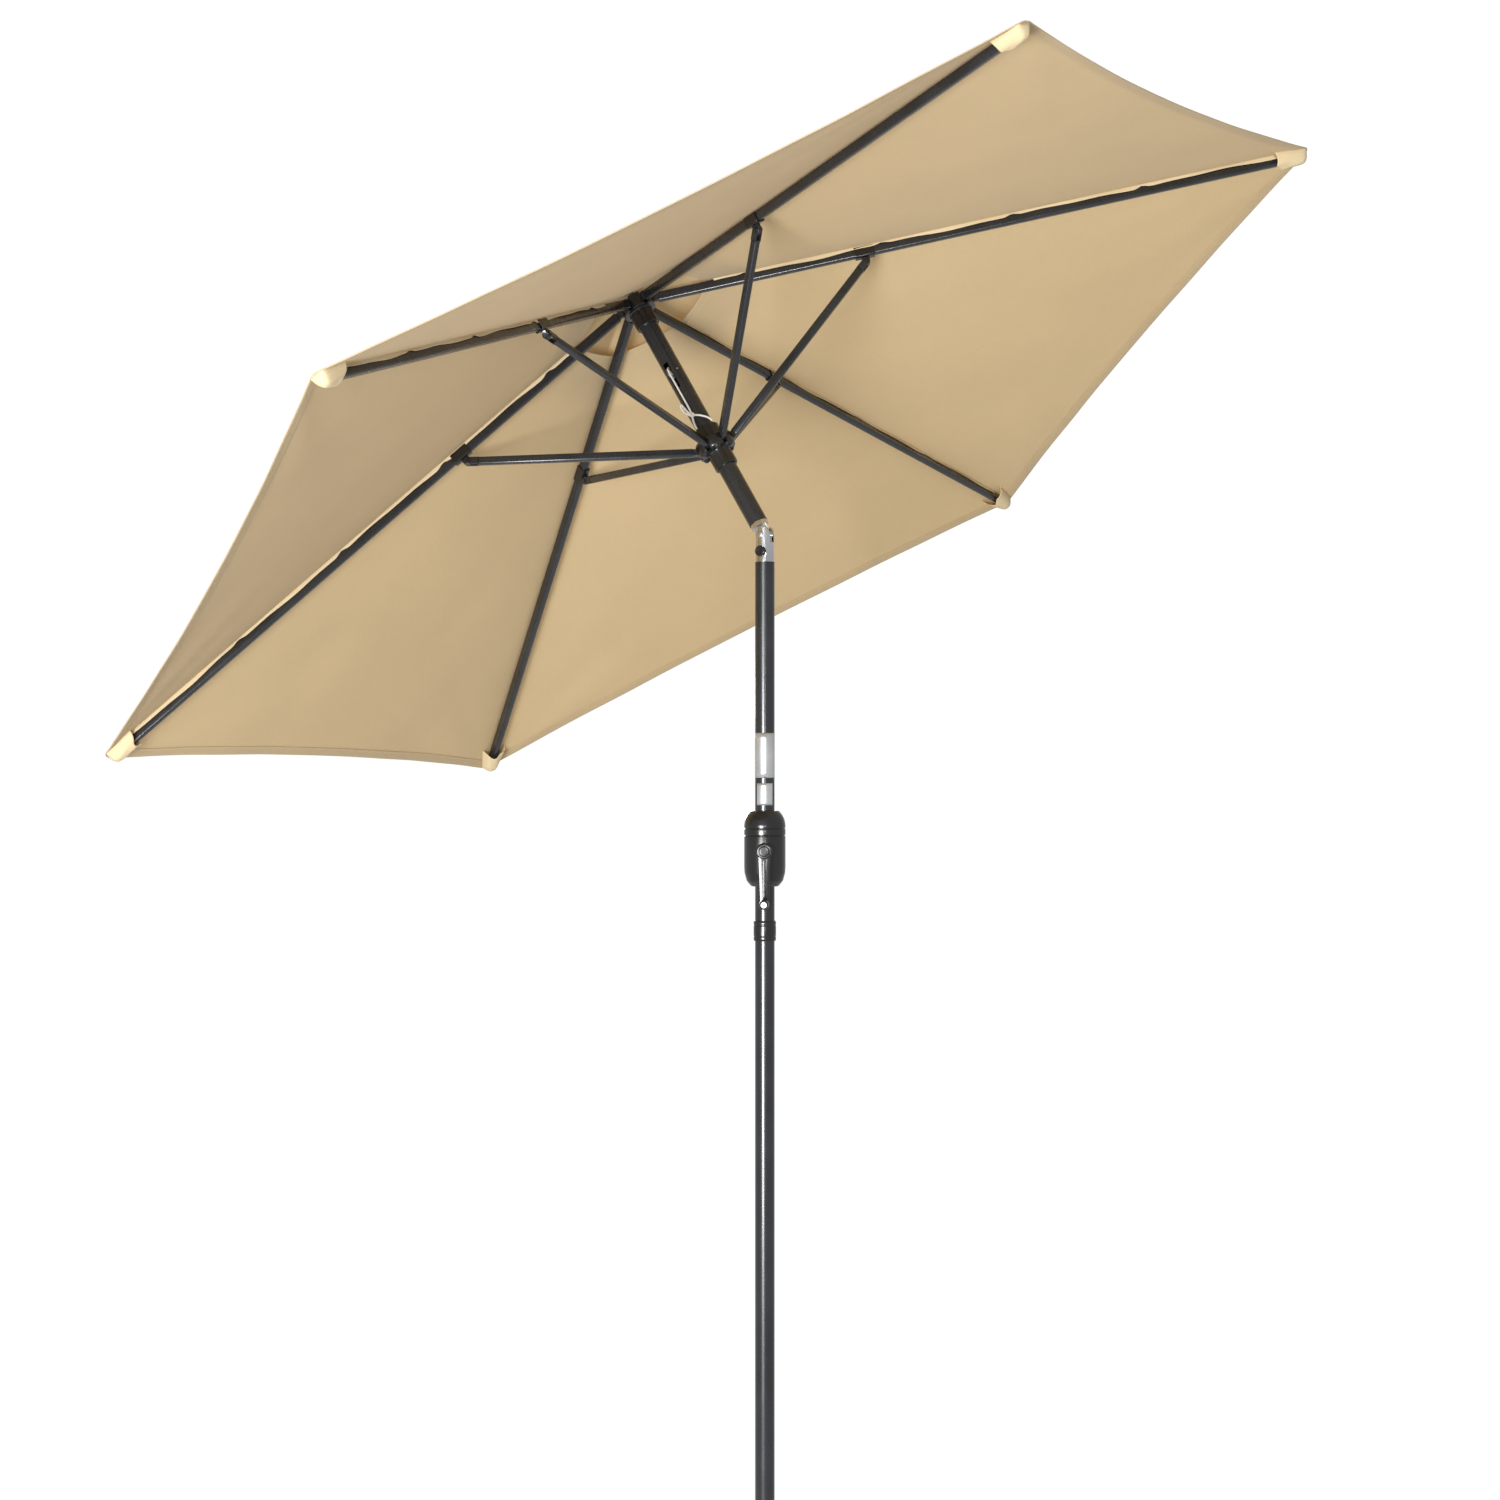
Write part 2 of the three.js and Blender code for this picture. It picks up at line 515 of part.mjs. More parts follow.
function makeTiltSocket() {
  const group = new THREE.Group();
  group.position.z = TILT_HEIGHT;
  const depth = MID_POLE_DROP + SOCKET_DEPTH;
  const body = rod(PLUG_RADIUS, -depth, CHEEK_RADIUS, ROUND_STEPS)
    .add(rod(SOCKET_RADIUS, -MID_POLE_DROP + GAP, CHEEK_RADIUS, ROUND_STEPS));
  const envelope = alongY(rod(CHEEK_RADIUS, -TILT_CUT, TILT_CUT, 24))
    .add(block(-TILT_CUT, TILT_CUT, -TILT_CUT, TILT_CUT, -depth - 1, 0));
  const slotHalf = TONGUE_HALF_WIDTH + GAP;
  const slot = block(-TILT_CUT, TILT_CUT, -slotHalf, slotHalf, -TONGUE_RADIUS - 4, TILT_CUT);
  const boreTop = BUTTON_RADIUS + RUNNING;
  const buttonBore = alongY(rod(boreTop, -TILT_CUT, -BUTTON_BORE_END, ROUND_STEPS))
    .translate([0, 0, -BUTTON_DROP]);
  const cordHole = rod(CORD_RADIUS + 0.7, -depth - 1, 0).translate([CORD_OFFSET, 0, 0]);
  const socket = body
    .intersect(envelope)
    .subtract(slot)
    .subtract(alongY(rod(TILT_PIN_RADIUS + GAP, -TILT_CUT, TILT_CUT)))
    .subtract(buttonBore)
    .subtract(cordHole);
  group.add(piece('tilt_socket', socket, CAST_CHROME));

  const headInner = SOCKET_RADIUS + GAP;
  const pin = rod(TILT_PIN_RADIUS, -headInner, headInner)
    .add(rod(5.5, headInner, headInner + 2))
    .add(rod(5.5, -headInner - 2, -headInner));
  group.add(piece('tilt_pin', alongY(pin), STEEL));

  const buttonInner = -(BUTTON_BORE_END + BUTTON_TRAVEL + 0.5);
  const buttonFace = -(SOCKET_RADIUS + BUTTON_STANDOFF);
  const button = turned([
    [0, buttonInner],
    [BUTTON_RADIUS, buttonInner],
    [BUTTON_RADIUS, buttonFace + 1.6],
    [BUTTON_RADIUS - 1.2, buttonFace],
    [0, buttonFace],
  ], ROUND_STEPS);
  group.add(piece('tilt_button', alongY(button).translate([0, 0, -BUTTON_DROP]), BLACK_PLASTIC));
  const coil = bentRod(helixPoints(4, buttonInner + 0.9, -BUTTON_BORE_END - 0.8, 2, 8), 0.4, 6, 16);
  const coilSolid = coil.rotate([0, 0, 90]).translate([0, 0, -BUTTON_DROP]);
  group.add(piece('button_spring', coilSolid, STEEL));
  return group;
}

function makeTiltKnuckle() {
  const shoulder = CHEEK_RADIUS + 2;
  const top = UPPER_POLE_RISE + SOCKET_DEPTH;
  const half = TONGUE_HALF_WIDTH;
  const knuckle = block(-TONGUE_RADIUS, TONGUE_RADIUS, -half, half, 0, shoulder + 1)
    .add(alongY(rod(TONGUE_RADIUS, -half, half, 20)))
    .add(rod(SOCKET_RADIUS, shoulder, UPPER_POLE_RISE - GAP, ROUND_STEPS))
    .add(rod(PLUG_RADIUS, shoulder, top, ROUND_STEPS))
    .subtract(alongY(rod(TILT_PIN_RADIUS + RUNNING, -TILT_CUT, TILT_CUT)))
    .subtract(rod(CORD_RADIUS + 0.7, 0, top + 1).translate([CORD_OFFSET, 0, 0]));
  return piece('tilt_knuckle', knuckle, CAST_CHROME);
}

// ---- Upper pole, with +Z up the pole from the tilt axis ----

const PULLEY_HEIGHT = CROWN_HEIGHT - PULLEY_DROP;

function makeUpperPole() {
  const group = new THREE.Group();
  const top = CROWN_HEIGHT - CROWN_BOTTOM + 2;
  const window = block(
    -WINDOW_HALF_WIDTH, WINDOW_HALF_WIDTH, -POLE_CUT, -POLE_RADIUS + 6.3, PULLEY_HEIGHT - 32, PULLEY_HEIGHT + 18,
  );
  const pinPlace = [0, -PULLEY_DEPTH, PULLEY_HEIGHT];
  const pole = ring(POLE_BORE, POLE_RADIUS, UPPER_POLE_RISE, top)
    .subtract(window)
    .subtract(alongX(rod(2.3, -POLE_CUT, POLE_CUT)).translate(pinPlace));
  group.add(piece('upper_pole', pole, FRAME_PAINT));

  const groove = PULLEY_CORD_RADIUS - CORD_RADIUS - CORD_WINDING_GAP;
  const wheel = turned([
    [2 + RUNNING, -4],
    [PULLEY_FLANGE_RADIUS, -4],
    [PULLEY_FLANGE_RADIUS, -3.2],
    [groove, -2.1],
    [groove, 2.1],
    [PULLEY_FLANGE_RADIUS, 3.2],
    [PULLEY_FLANGE_RADIUS, 4],
    [2 + RUNNING, 4],
  ], 20);
  group.add(piece('pulley_wheel', alongX(wheel).translate(pinPlace), STEEL));
  const reach = Math.sqrt(POLE_RADIUS ** 2 - PULLEY_DEPTH ** 2) - 0.2;
  group.add(piece('pulley_pin', alongX(rod(2, -reach, reach)).translate(pinPlace), STEEL));
  return group;
}

// ---- Crown and runner, in frames on their pin planes with the first rib along +X ----

/** A six-sided wire ring whose sides are square to the ribs. */
function hingeWire(pinRadius, wireRadius) {
  const corner = pinRadius / Math.cos(RIB_PITCH / 2);
  const outline = [];
  for (let i = 0; i < SMALL_STEPS; i += 1) {
    const turn = (2 * Math.PI * i) / SMALL_STEPS;
    outline.push([corner + wireRadius * Math.cos(turn), wireRadius * Math.sin(turn)]);
  }
  return turned(outline, RIB_COUNT);
}

function cutSlots(hub, width, inner, outer, bottom, top) {
  let cut = hub;
  for (let i = 0; i < RIB_COUNT; i += 1) {
    const slot = block(inner, outer, -width / 2, width / 2, bottom, top);
    cut = cut.subtract(slot.rotate([0, 0, (360 * i) / RIB_COUNT]));
  }
  return cut;
}

function makeCrown() {
  const group = new THREE.Group();
  const skirt = 45;
  const hub = turned([
    [0, -skirt],
    [POLE_RADIUS + 4.2, -skirt],
    [POLE_RADIUS + 4.2, -CROWN_BOTTOM],
    [CROWN_RADIUS, -CROWN_BOTTOM],
    [CROWN_RADIUS, CROWN_TOP - 2],
    [CROWN_RADIUS - 2, CROWN_TOP],
    [0, CROWN_TOP],
  ]);
  const slotInner = CROWN_PIN_RADIUS - EYE_RADIUS - 0.6;
  const bored = hub
    .subtract(rod(POLE_RADIUS + GAP, -skirt - 1, -CROWN_BOTTOM + 2.3, ROUND_STEPS))
    .subtract(rod(FINIAL_STUD_RADIUS + GAP, 0, CROWN_TOP + 1));
  const slotted = cutSlots(bored, EYE_WIDTH + 0.7, slotInner, CROWN_RADIUS + 5, -CROWN_BOTTOM - 1, 20);
  const crown = slotted.subtract(hingeWire(CROWN_PIN_RADIUS, WIRE_RADIUS + GAP));
  group.add(piece('crown', crown, BLACK_PLASTIC));
  group.add(piece('crown_wire', hingeWire(CROWN_PIN_RADIUS, WIRE_RADIUS), STEEL));

  const seat = VENT_CAP_TOP + GAP;
  const finial = turned([
    [0, 2],
    [FINIAL_STUD_RADIUS, 2],
    [FINIAL_STUD_RADIUS, seat],
    [15, seat],
    [15, seat + 3],
    [7, seat + 7],
    [6, seat + 14],
    [11, seat + 18],
    [14, seat + 27],
    [12, seat + 36],
    [6, seat + 41],
    [0, seat + 42],
  ], 20);
  group.add(piece('finial', finial, BLACK_PLASTIC));
  return group;
}

function makeRunner() {
  const group = new THREE.Group();
  const hubHalf = 12;
  const sleeve = POLE_RADIUS + 4.2;
  const outline = turned([
    [POLE_RADIUS + 0.9, -43],
    [sleeve - 1, -43],
    [sleeve, -41],
    [sleeve, -hubHalf],
    [RUNNER_RADIUS - 2, -hubHalf],
    [RUNNER_RADIUS, -hubHalf + 2],
    [RUNNER_RADIUS, hubHalf - 2],
    [RUNNER_RADIUS - 2, hubHalf],
    [POLE_RADIUS + 5.7, hubHalf],
    [POLE_RADIUS + 5.7, 34],
    [POLE_RADIUS + 4.7, 35],
    [POLE_RADIUS + 0.9, 35],
  ]);
  const slotInner = RUNNER_PIN_RADIUS - STRUT_EYE_RADIUS - 0.5;
  const slotted = cutSlots(outline, EYE_WIDTH + 1.2, slotInner, RUNNER_RADIUS + 5, -hubHalf - 1, hubHalf);
  const runner = slotted.subtract(hingeWire(RUNNER_PIN_RADIUS, WIRE_RADIUS + GAP));
  group.add(piece('runner', runner, BLACK_PLASTIC));
  group.add(piece('runner_wire', hingeWire(RUNNER_PIN_RADIUS, WIRE_RADIUS), STEEL));
  return group;
}

// ---- Ribs and struts ----

const BRACKET_BOTTOM = RIB_HEIGHT / 2 + GAP + BRACKET_WALL;
const PIVOT_RADIUS = 2.6;

function makeRib(number) {
  const blade = block(0, 30, -EYE_WIDTH / 2, EYE_WIDTH / 2, -EYE_RADIUS, EYE_RADIUS)
    .add(block(16, 34, -EYE_WIDTH / 2, EYE_WIDTH / 2, -RIB_HEIGHT / 2 + 0.5, RIB_HEIGHT / 2 - 0.5))
    .add(alongY(rod(EYE_RADIUS, -EYE_WIDTH / 2, EYE_WIDTH / 2)));
  const rib = boxTube(RIB_WIDTH, RIB_HEIGHT, RIB_WALL, 16, RIB_LENGTH)
    .add(blade)
    .subtract(alongY(rod(WIRE_RADIUS + 0.35, -10, 10)));
  return piece(`rib_${number}`, rib, FRAME_PAINT);
}

function makeBracket(number) {
  const half = BRACKET_LENGTH / 2;
  const [width, height] = [RIB_WIDTH + 2 * GAP, RIB_HEIGHT + 2 * GAP];
  const outer = bar(width + 2 * BRACKET_WALL, 2 * BRACKET_BOTTOM, 3, -half, half)
    .subtract(block(-half - 1, half + 1, -20, 20, RIB_HEIGHT / 2 - 1, 20));
  const saddle = outer.subtract(bar(width, height, 2.4, -half - 1, half + 1));
  const lugHalf = LUG_WIDTH / 2;
  const lug = block(-7, 7, -lugHalf, lugHalf, -BRACKET_OFFSET, -BRACKET_BOTTOM + 1)
    .add(alongY(rod(7, -lugHalf, lugHalf, SMALL_STEPS)).translate([0, 0, -BRACKET_OFFSET]));
  const head = STRUT_WIDTH / 2 + 0.5;
  const rivet = rod(PIVOT_RADIUS, -head, head)
    .add(rod(4.4, head, head + 1.6, SMALL_STEPS))
    .add(rod(4.4, -head - 1.6, -head, SMALL_STEPS));
  const bracket = saddle.add(lug).add(alongY(rivet).translate([0, 0, -BRACKET_OFFSET]));
  return piece(`rib_bracket_${number}`, bracket, BLACK_PLASTIC);
}

function makeStrut(number, length) {
  const end = STRUT_HEIGHT / 2 - 0.5;
  const inner = STRUT_WIDTH / 2 - STRUT_WALL;
  const envelope = alongY(rod(end, -20, 20)).add(block(0, length, -20, 20, -20, 20));
  const fork = boxTube(STRUT_WIDTH, STRUT_HEIGHT, STRUT_WALL, -end, length - 13)
    .subtract(block(-20, 17, -inner, inner, -20, 20))
    .intersect(envelope);
  const half = EYE_WIDTH / 2;
  const eye = block(length - 26, length, -half, half, -6, 6)
    .add(alongY(rod(STRUT_EYE_RADIUS, -half, half)).translate([length, 0, 0]));
  const strut = fork
    .add(eye)
    .subtract(alongY(rod(PIVOT_RADIUS + RUNNING, -20, 20)))
    .subtract(alongY(rod(WIRE_RADIUS + STRUT_EYE_PLAY, -20, 20)).translate([length, 0, 0]));
  return piece(`strut_${number}`, strut, FRAME_PAINT);
}

/** One rib with its bracket and strut, in the crown's frame with the rib over +X. */
function makeRibArm(number) {
  const arm = new THREE.Group();
  arm.position.x = CROWN_PIN_RADIUS;
  arm.rotation.y = RIB_SLOPE;
  arm.add(makeRib(number));
  const bracket = makeBracket(number);
  bracket.position.x = BRACKET_STATION;
  arm.add(bracket);

  const pivot = new THREE.Vector3(BRACKET_STATION, 0, -BRACKET_OFFSET);
  const upright = new THREE.Vector3(0, 1, 0);
  const runnerPin = new THREE.Vector3(RUNNER_PIN_RADIUS - CROWN_PIN_RADIUS, 0, -RUNNER_DROP);
  const reach = runnerPin.applyAxisAngle(upright, -RIB_SLOPE).sub(pivot);
  const strut = makeStrut(number, reach.length());
  strut.position.copy(pivot);
  strut.rotation.y = Math.atan2(-reach.z, reach.x);
  arm.add(strut);
  return arm;
}

// ---- Canopy, in the crown's frame ----

/** Height of the canopy's underside over a rib, above the rib pins. */
function canopyHeight(radius) {
  return CANOPY_LIFT + (CROWN_PIN_RADIUS - radius) * Math.tan(RIB_SLOPE);
}

/** A flat panel between two ribs, with its middle over +X. */
function makePanel(number) {
  const half = RIB_PITCH / 2;
  const seam = GAP / Math.cos(half);
  const [cosHalf, sinHalf] = [Math.cos(half), Math.sin(half)];
  const tip = TIP_RADIUS + 4;
  const outline = new THREE.Shape();
  outline.moveTo(VENT_RADIUS * cosHalf, -VENT_RADIUS * sinHalf + seam);
  const hemSteps = 8;
  for (let i = 0; i <= hemSteps; i += 1) {
    const across = (2 * i) / hemSteps - 1;
    const inset = HEM_SAG * (1 - across * across);
    outline.lineTo(tip * cosHalf - inset, across * (tip * sinHalf - seam));
  }
  outline.lineTo(VENT_RADIUS * cosHalf, VENT_RADIUS * sinHalf - seam);
  outline.closePath();
  const options = { depth: CANOPY_THICKNESS, bevelEnabled: false };
  const geometry = new THREE.ExtrudeGeometry(outline, options);
  const positions = geometry.getAttribute('position');
  for (let i = 0; i < positions.count; i += 1) {
    positions.setZ(i, positions.getZ(i) + canopyHeight(positions.getX(i) / cosHalf));
  }
  return piece(`canopy_panel_${number}`, solidOf(geometry), CANVAS);
}

function makeVentCap() {
  const edge = canopyHeight(VENT_CAP_RADIUS) + VENT_CAP_RISE;
  const flat = CROWN_RADIUS + 4;
  const [top, thickness] = [VENT_CAP_TOP, CANOPY_THICKNESS];
  const hole = (FINIAL_STUD_RADIUS + GAP) / Math.cos(RIB_PITCH / 2);
  const outline = [
    [hole, top - thickness],
    [flat, top - thickness - 1],
    [VENT_CAP_RADIUS, edge - thickness],
    [VENT_CAP_RADIUS, edge],
    [flat, top - 1],
    [hole, top],
  ];
  return piece('vent_cap', turned(outline, RIB_COUNT, RIB_PITCH / 2), CANVAS);
}

// ---- Lift cord ----

/** The cord's route in the stand's frame: spool, tilt joint, pulley, runner. */
function cordRoute() {
  const crankTurn = new THREE.Matrix4().makeRotationZ(CRANK_AZIMUTH * RAD);
  crankTurn.setPosition(0, 0, TILT_HEIGHT - CRANK_DROP);
  const lean = new THREE.Matrix4().makeRotationY(-LEAN * RAD).setPosition(0, 0, TILT_HEIGHT);
  const wound = SPOOL_RADIUS + CORD_WINDING_GAP + CORD_RADIUS;
  const reach = SPOOL_HALF_WIDTH - CORD_RADIUS - GAP;
  const turnsOnSpool = helixPoints(wound, -reach, reach * 0.6, CORD_TURNS, 9, Math.PI / 2);
  const points = turnsOnSpool.map((point) => point.applyMatrix4(crankTurn));
  const inStand = [
    [-1, wound, 30],
    [-1, wound, 60],
  ];
  points.push(...inStand.map(([x, y, z]) => new THREE.Vector3(x, y, z).applyMatrix4(crankTurn)));
  for (const drop of [300, 180, MID_POLE_DROP + SOCKET_DEPTH + 25, MID_POLE_DROP + SOCKET_DEPTH, 50, 25, 8]) {
    const share = drop > 150 ? 0.75 : 1;
    points.push(new THREE.Vector3(share * CORD_OFFSET, 0, TILT_HEIGHT - drop));
  }
  const bends = 4;
  for (let i = 0; i <= bends; i += 1) {
    const turn = (LEAN * RAD * i) / bends;
    const [x, z] = [CORD_OFFSET * Math.cos(turn), CORD_OFFSET * Math.sin(turn)];
    points.push(new THREE.Vector3(x, 0, TILT_HEIGHT + z));
  }
  const inner = PULLEY_DEPTH - PULLEY_CORD_RADIUS;
  const outer = PULLEY_DEPTH + PULLEY_CORD_RADIUS;
  const inPole = [
    [CORD_OFFSET, 0, 10],
    [CORD_OFFSET, 0, 35],
    [CORD_OFFSET, 0, UPPER_POLE_RISE + SOCKET_DEPTH],
    [0.9 * CORD_OFFSET, 0, UPPER_POLE_RISE + SOCKET_DEPTH + 20],
    [2, -inner, PULLEY_HEIGHT - 70],
    [0, -inner, PULLEY_HEIGHT - 30],
  ];
  const wrapSteps = 6;
  for (let i = 0; i <= wrapSteps; i += 1) {
    const turn = (Math.PI * i) / wrapSteps;
    const y = -PULLEY_DEPTH + PULLEY_CORD_RADIUS * Math.cos(turn);
    inPole.push([0, y, PULLEY_HEIGHT + PULLEY_CORD_RADIUS * Math.sin(turn)]);
  }
  const runnerTop = CROWN_HEIGHT - RUNNER_DROP + 35;
  inPole.push([0, -outer, PULLEY_HEIGHT - 40]);
  inPole.push([0, -outer - 0.3, (PULLEY_HEIGHT + runnerTop) / 2]);
  inPole.push([0, -outer - 0.6, runnerTop + GAP]);
  points.push(...inPole.map(([x, y, z]) => new THREE.Vector3(x, y, z).applyMatrix4(lean)));
  return points;
}

function makeLiftCord() {
  return piece('lift_cord', bentRod(cordRoute(), CORD_RADIUS, 8, 150), CORD_WHITE);
}

// ---- Assembly ----

const umbrella = new THREE.Group();
umbrella.add(makeBase(), makePoles(), makeCrank(), makeTiltSocket(), makeLiftCord());

const upper = new THREE.Group();
upper.position.z = TILT_HEIGHT;
upper.rotation.y = -LEAN * RAD;
upper.add(makeTiltKnuckle(), makeUpperPole());

const canopy = new THREE.Group();
canopy.position.z = CROWN_HEIGHT;
canopy.rotation.z = RIB_AZIMUTH * RAD;
canopy.add(makeCrown(), makeVentCap());
const runnerGroup = makeRunner();
runnerGroup.position.z = -RUNNER_DROP;
canopy.add(runnerGroup);
for (let i = 0; i < RIB_COUNT; i += 1) {
  const sector = new THREE.Group();
  sector.rotation.z = i * RIB_PITCH;
  sector.add(makeRibArm(i + 1));
  const panel = makePanel(i + 1);
  panel.rotation.z = RIB_PITCH / 2;
  sector.add(panel);
  canopy.add(sector);
}
upper.add(canopy);
umbrella.add(upper);

export default umbrella;
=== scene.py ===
"""A crank-lift market umbrella: canopy, ribs and struts, tilt joint, crank and weighted base.

Sizes are in millimetres in each sub-assembly's own axes, and are placed in metres.
"""

import json
import logging
import math
from dataclasses import dataclass, field
from enum import Enum

import bmesh
import bpy
import numpy as np
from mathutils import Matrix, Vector


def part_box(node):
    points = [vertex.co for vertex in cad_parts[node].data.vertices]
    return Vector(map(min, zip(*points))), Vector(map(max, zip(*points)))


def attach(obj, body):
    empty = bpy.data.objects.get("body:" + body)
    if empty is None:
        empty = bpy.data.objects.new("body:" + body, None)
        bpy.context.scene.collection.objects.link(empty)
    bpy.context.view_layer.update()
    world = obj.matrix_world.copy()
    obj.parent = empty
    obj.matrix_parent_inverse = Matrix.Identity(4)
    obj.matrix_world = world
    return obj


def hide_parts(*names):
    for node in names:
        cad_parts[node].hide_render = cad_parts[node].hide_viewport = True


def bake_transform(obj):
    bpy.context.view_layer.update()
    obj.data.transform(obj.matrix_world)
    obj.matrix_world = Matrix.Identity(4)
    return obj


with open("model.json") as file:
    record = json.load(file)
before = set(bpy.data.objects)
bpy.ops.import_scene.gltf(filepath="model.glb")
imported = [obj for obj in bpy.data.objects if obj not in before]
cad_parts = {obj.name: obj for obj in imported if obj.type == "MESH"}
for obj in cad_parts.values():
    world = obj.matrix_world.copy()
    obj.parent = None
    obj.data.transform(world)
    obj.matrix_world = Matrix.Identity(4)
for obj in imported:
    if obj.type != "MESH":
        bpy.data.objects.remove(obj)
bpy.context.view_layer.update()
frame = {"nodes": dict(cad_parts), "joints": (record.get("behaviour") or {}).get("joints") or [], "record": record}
LOG = logging.getLogger("umbrella")
MM = 0.001


# ---- Places ----


@dataclass(frozen=True)
class Axes:
    """A local frame: an origin in millimetres, and three unit axes as rows."""

    origin: np.ndarray
    rows: np.ndarray

    def place(self, points: np.ndarray) -> np.ndarray:
        """Local millimetres to the row frame's metres: origin plus each coordinate along its axis."""
        return (self.origin + points @ self.rows) * MM

    def point(self, x: float, y: float, z: float) -> Vector:
        """One local point in the row frame, in metres."""
        return Vector(self.place(np.array([x, y, z], float)))

    def moved(self, x: float = 0, y: float = 0, z: float = 0) -> "Axes":
        """These axes carried along themselves."""
        return Axes(self.origin + np.array([x, y, z], float) @ self.rows, self.rows)

    def about_z(self, degrees: float) -> "Axes":
        """These axes turned about their own z."""
        c, s = math.cos(math.radians(degrees)), math.sin(math.radians(degrees))
        return Axes(self.origin, np.array([[c, s, 0], [-s, c, 0], [0, 0, 1]]) @ self.rows)

    def about_y(self, degrees: float) -> "Axes":
        """These axes turned about their own y, which takes z towards x."""
        c, s = math.cos(math.radians(degrees)), math.sin(math.radians(degrees))
        return Axes(self.origin, np.array([[c, 0, -s], [0, 1, 0], [s, 0, c]]) @ self.rows)

    def spun_on_x(self) -> "Axes":
        """Axes whose z runs along this x, for a turned piece that lies along x."""
        return Axes(self.origin, self.rows[[1, 2, 0]])

    def spun_on_y(self) -> "Axes":
        """Axes whose z runs along this y, for a turned piece that lies along y."""
        return Axes(self.origin, self.rows[[2, 0, 1]])


JOINTS = {joint["name"]: joint for joint in frame["joints"]}


def joint_axes(name: str, rows: np.ndarray) -> Axes:
    """Axes on a packed joint's pivot.

    Args:
        name: The joint's name.
        rows: The unit axes as rows.

    Returns:
        The axes, with their origin in millimetres.
    """
    return Axes(np.array(JOINTS[name]["pos_m"], float) / MM, rows)


def upper_rows() -> np.ndarray:
    """The upper pole's axes: z against the runner's slide, x along the pulley's axle."""
    up = -np.array(JOINTS["runner_slide"]["axis"], float)
    across = np.array(JOINTS["pulley_spin"]["axis"], float)
    return np.array([across, np.cross(up, across), up])


GROUND = Axes(np.zeros(3), np.eye(3))
UPPER = joint_axes("tilt_hinge", upper_rows())
TILT = joint_axes("tilt_hinge", np.eye(3))


# ---- Surfaces ----


def rounded_path(corners: list, radius: float, steps: int = 4) -> np.ndarray:
    """A line through corners whose inner corners are eased.

    Each inner corner P gives way to the curve (1-t)^2 A + 2t(1-t) P + t^2 B, where A and B lie a
    radius, or under half of the shorter side, along its two sides.

    Args:
        corners: The points.
        radius: How far from a corner its curve starts.
        steps: Points on each curve.

    Returns:
        An array of points.
    """
    p = np.array(corners, float)
    back, ahead = p[:-2] - p[1:-1], p[2:] - p[1:-1]
    lengths = np.stack([np.linalg.norm(back, axis=1), np.linalg.norm(ahead, axis=1)])
    reach = np.minimum(radius, 0.45 * lengths.min(0))[:, None]
    a, b = p[1:-1] + back / lengths[0][:, None] * reach, p[1:-1] + ahead / lengths[1][:, None] * reach
    t = np.linspace(0, 1, steps)[None, :, None]
    eased = (1 - t) ** 2 * a[:, None] + 2 * t * (1 - t) * p[1:-1][:, None] + t**2 * b[:, None]
    return np.vstack([p[:1], eased.reshape(-1, p.shape[1]), p[-1:]])


def rounded_box_section(width: float, height: float, radius: float, steps: int = 5) -> np.ndarray:
    """A rectangle with quarter-circle corners: each corner's centre plus radius times (cos, sin).

    Args:
        width: Across.
        height: Up.
        radius: Of the corners.
        steps: Points on each corner.

    Returns:
        The closed outline's points.
    """
    turn = np.linspace(0, np.pi / 2, steps)
    quarters = []
    for i, (sx, sy) in enumerate([(1, 1), (-1, 1), (-1, -1), (1, -1)]):
        angle = turn + i * np.pi / 2
        centre = np.array([sx * (width / 2 - radius), sy * (height / 2 - radius)])
        quarters.append(centre + radius * np.stack([np.cos(angle), np.sin(angle)], 1))
    return np.vstack(quarters)


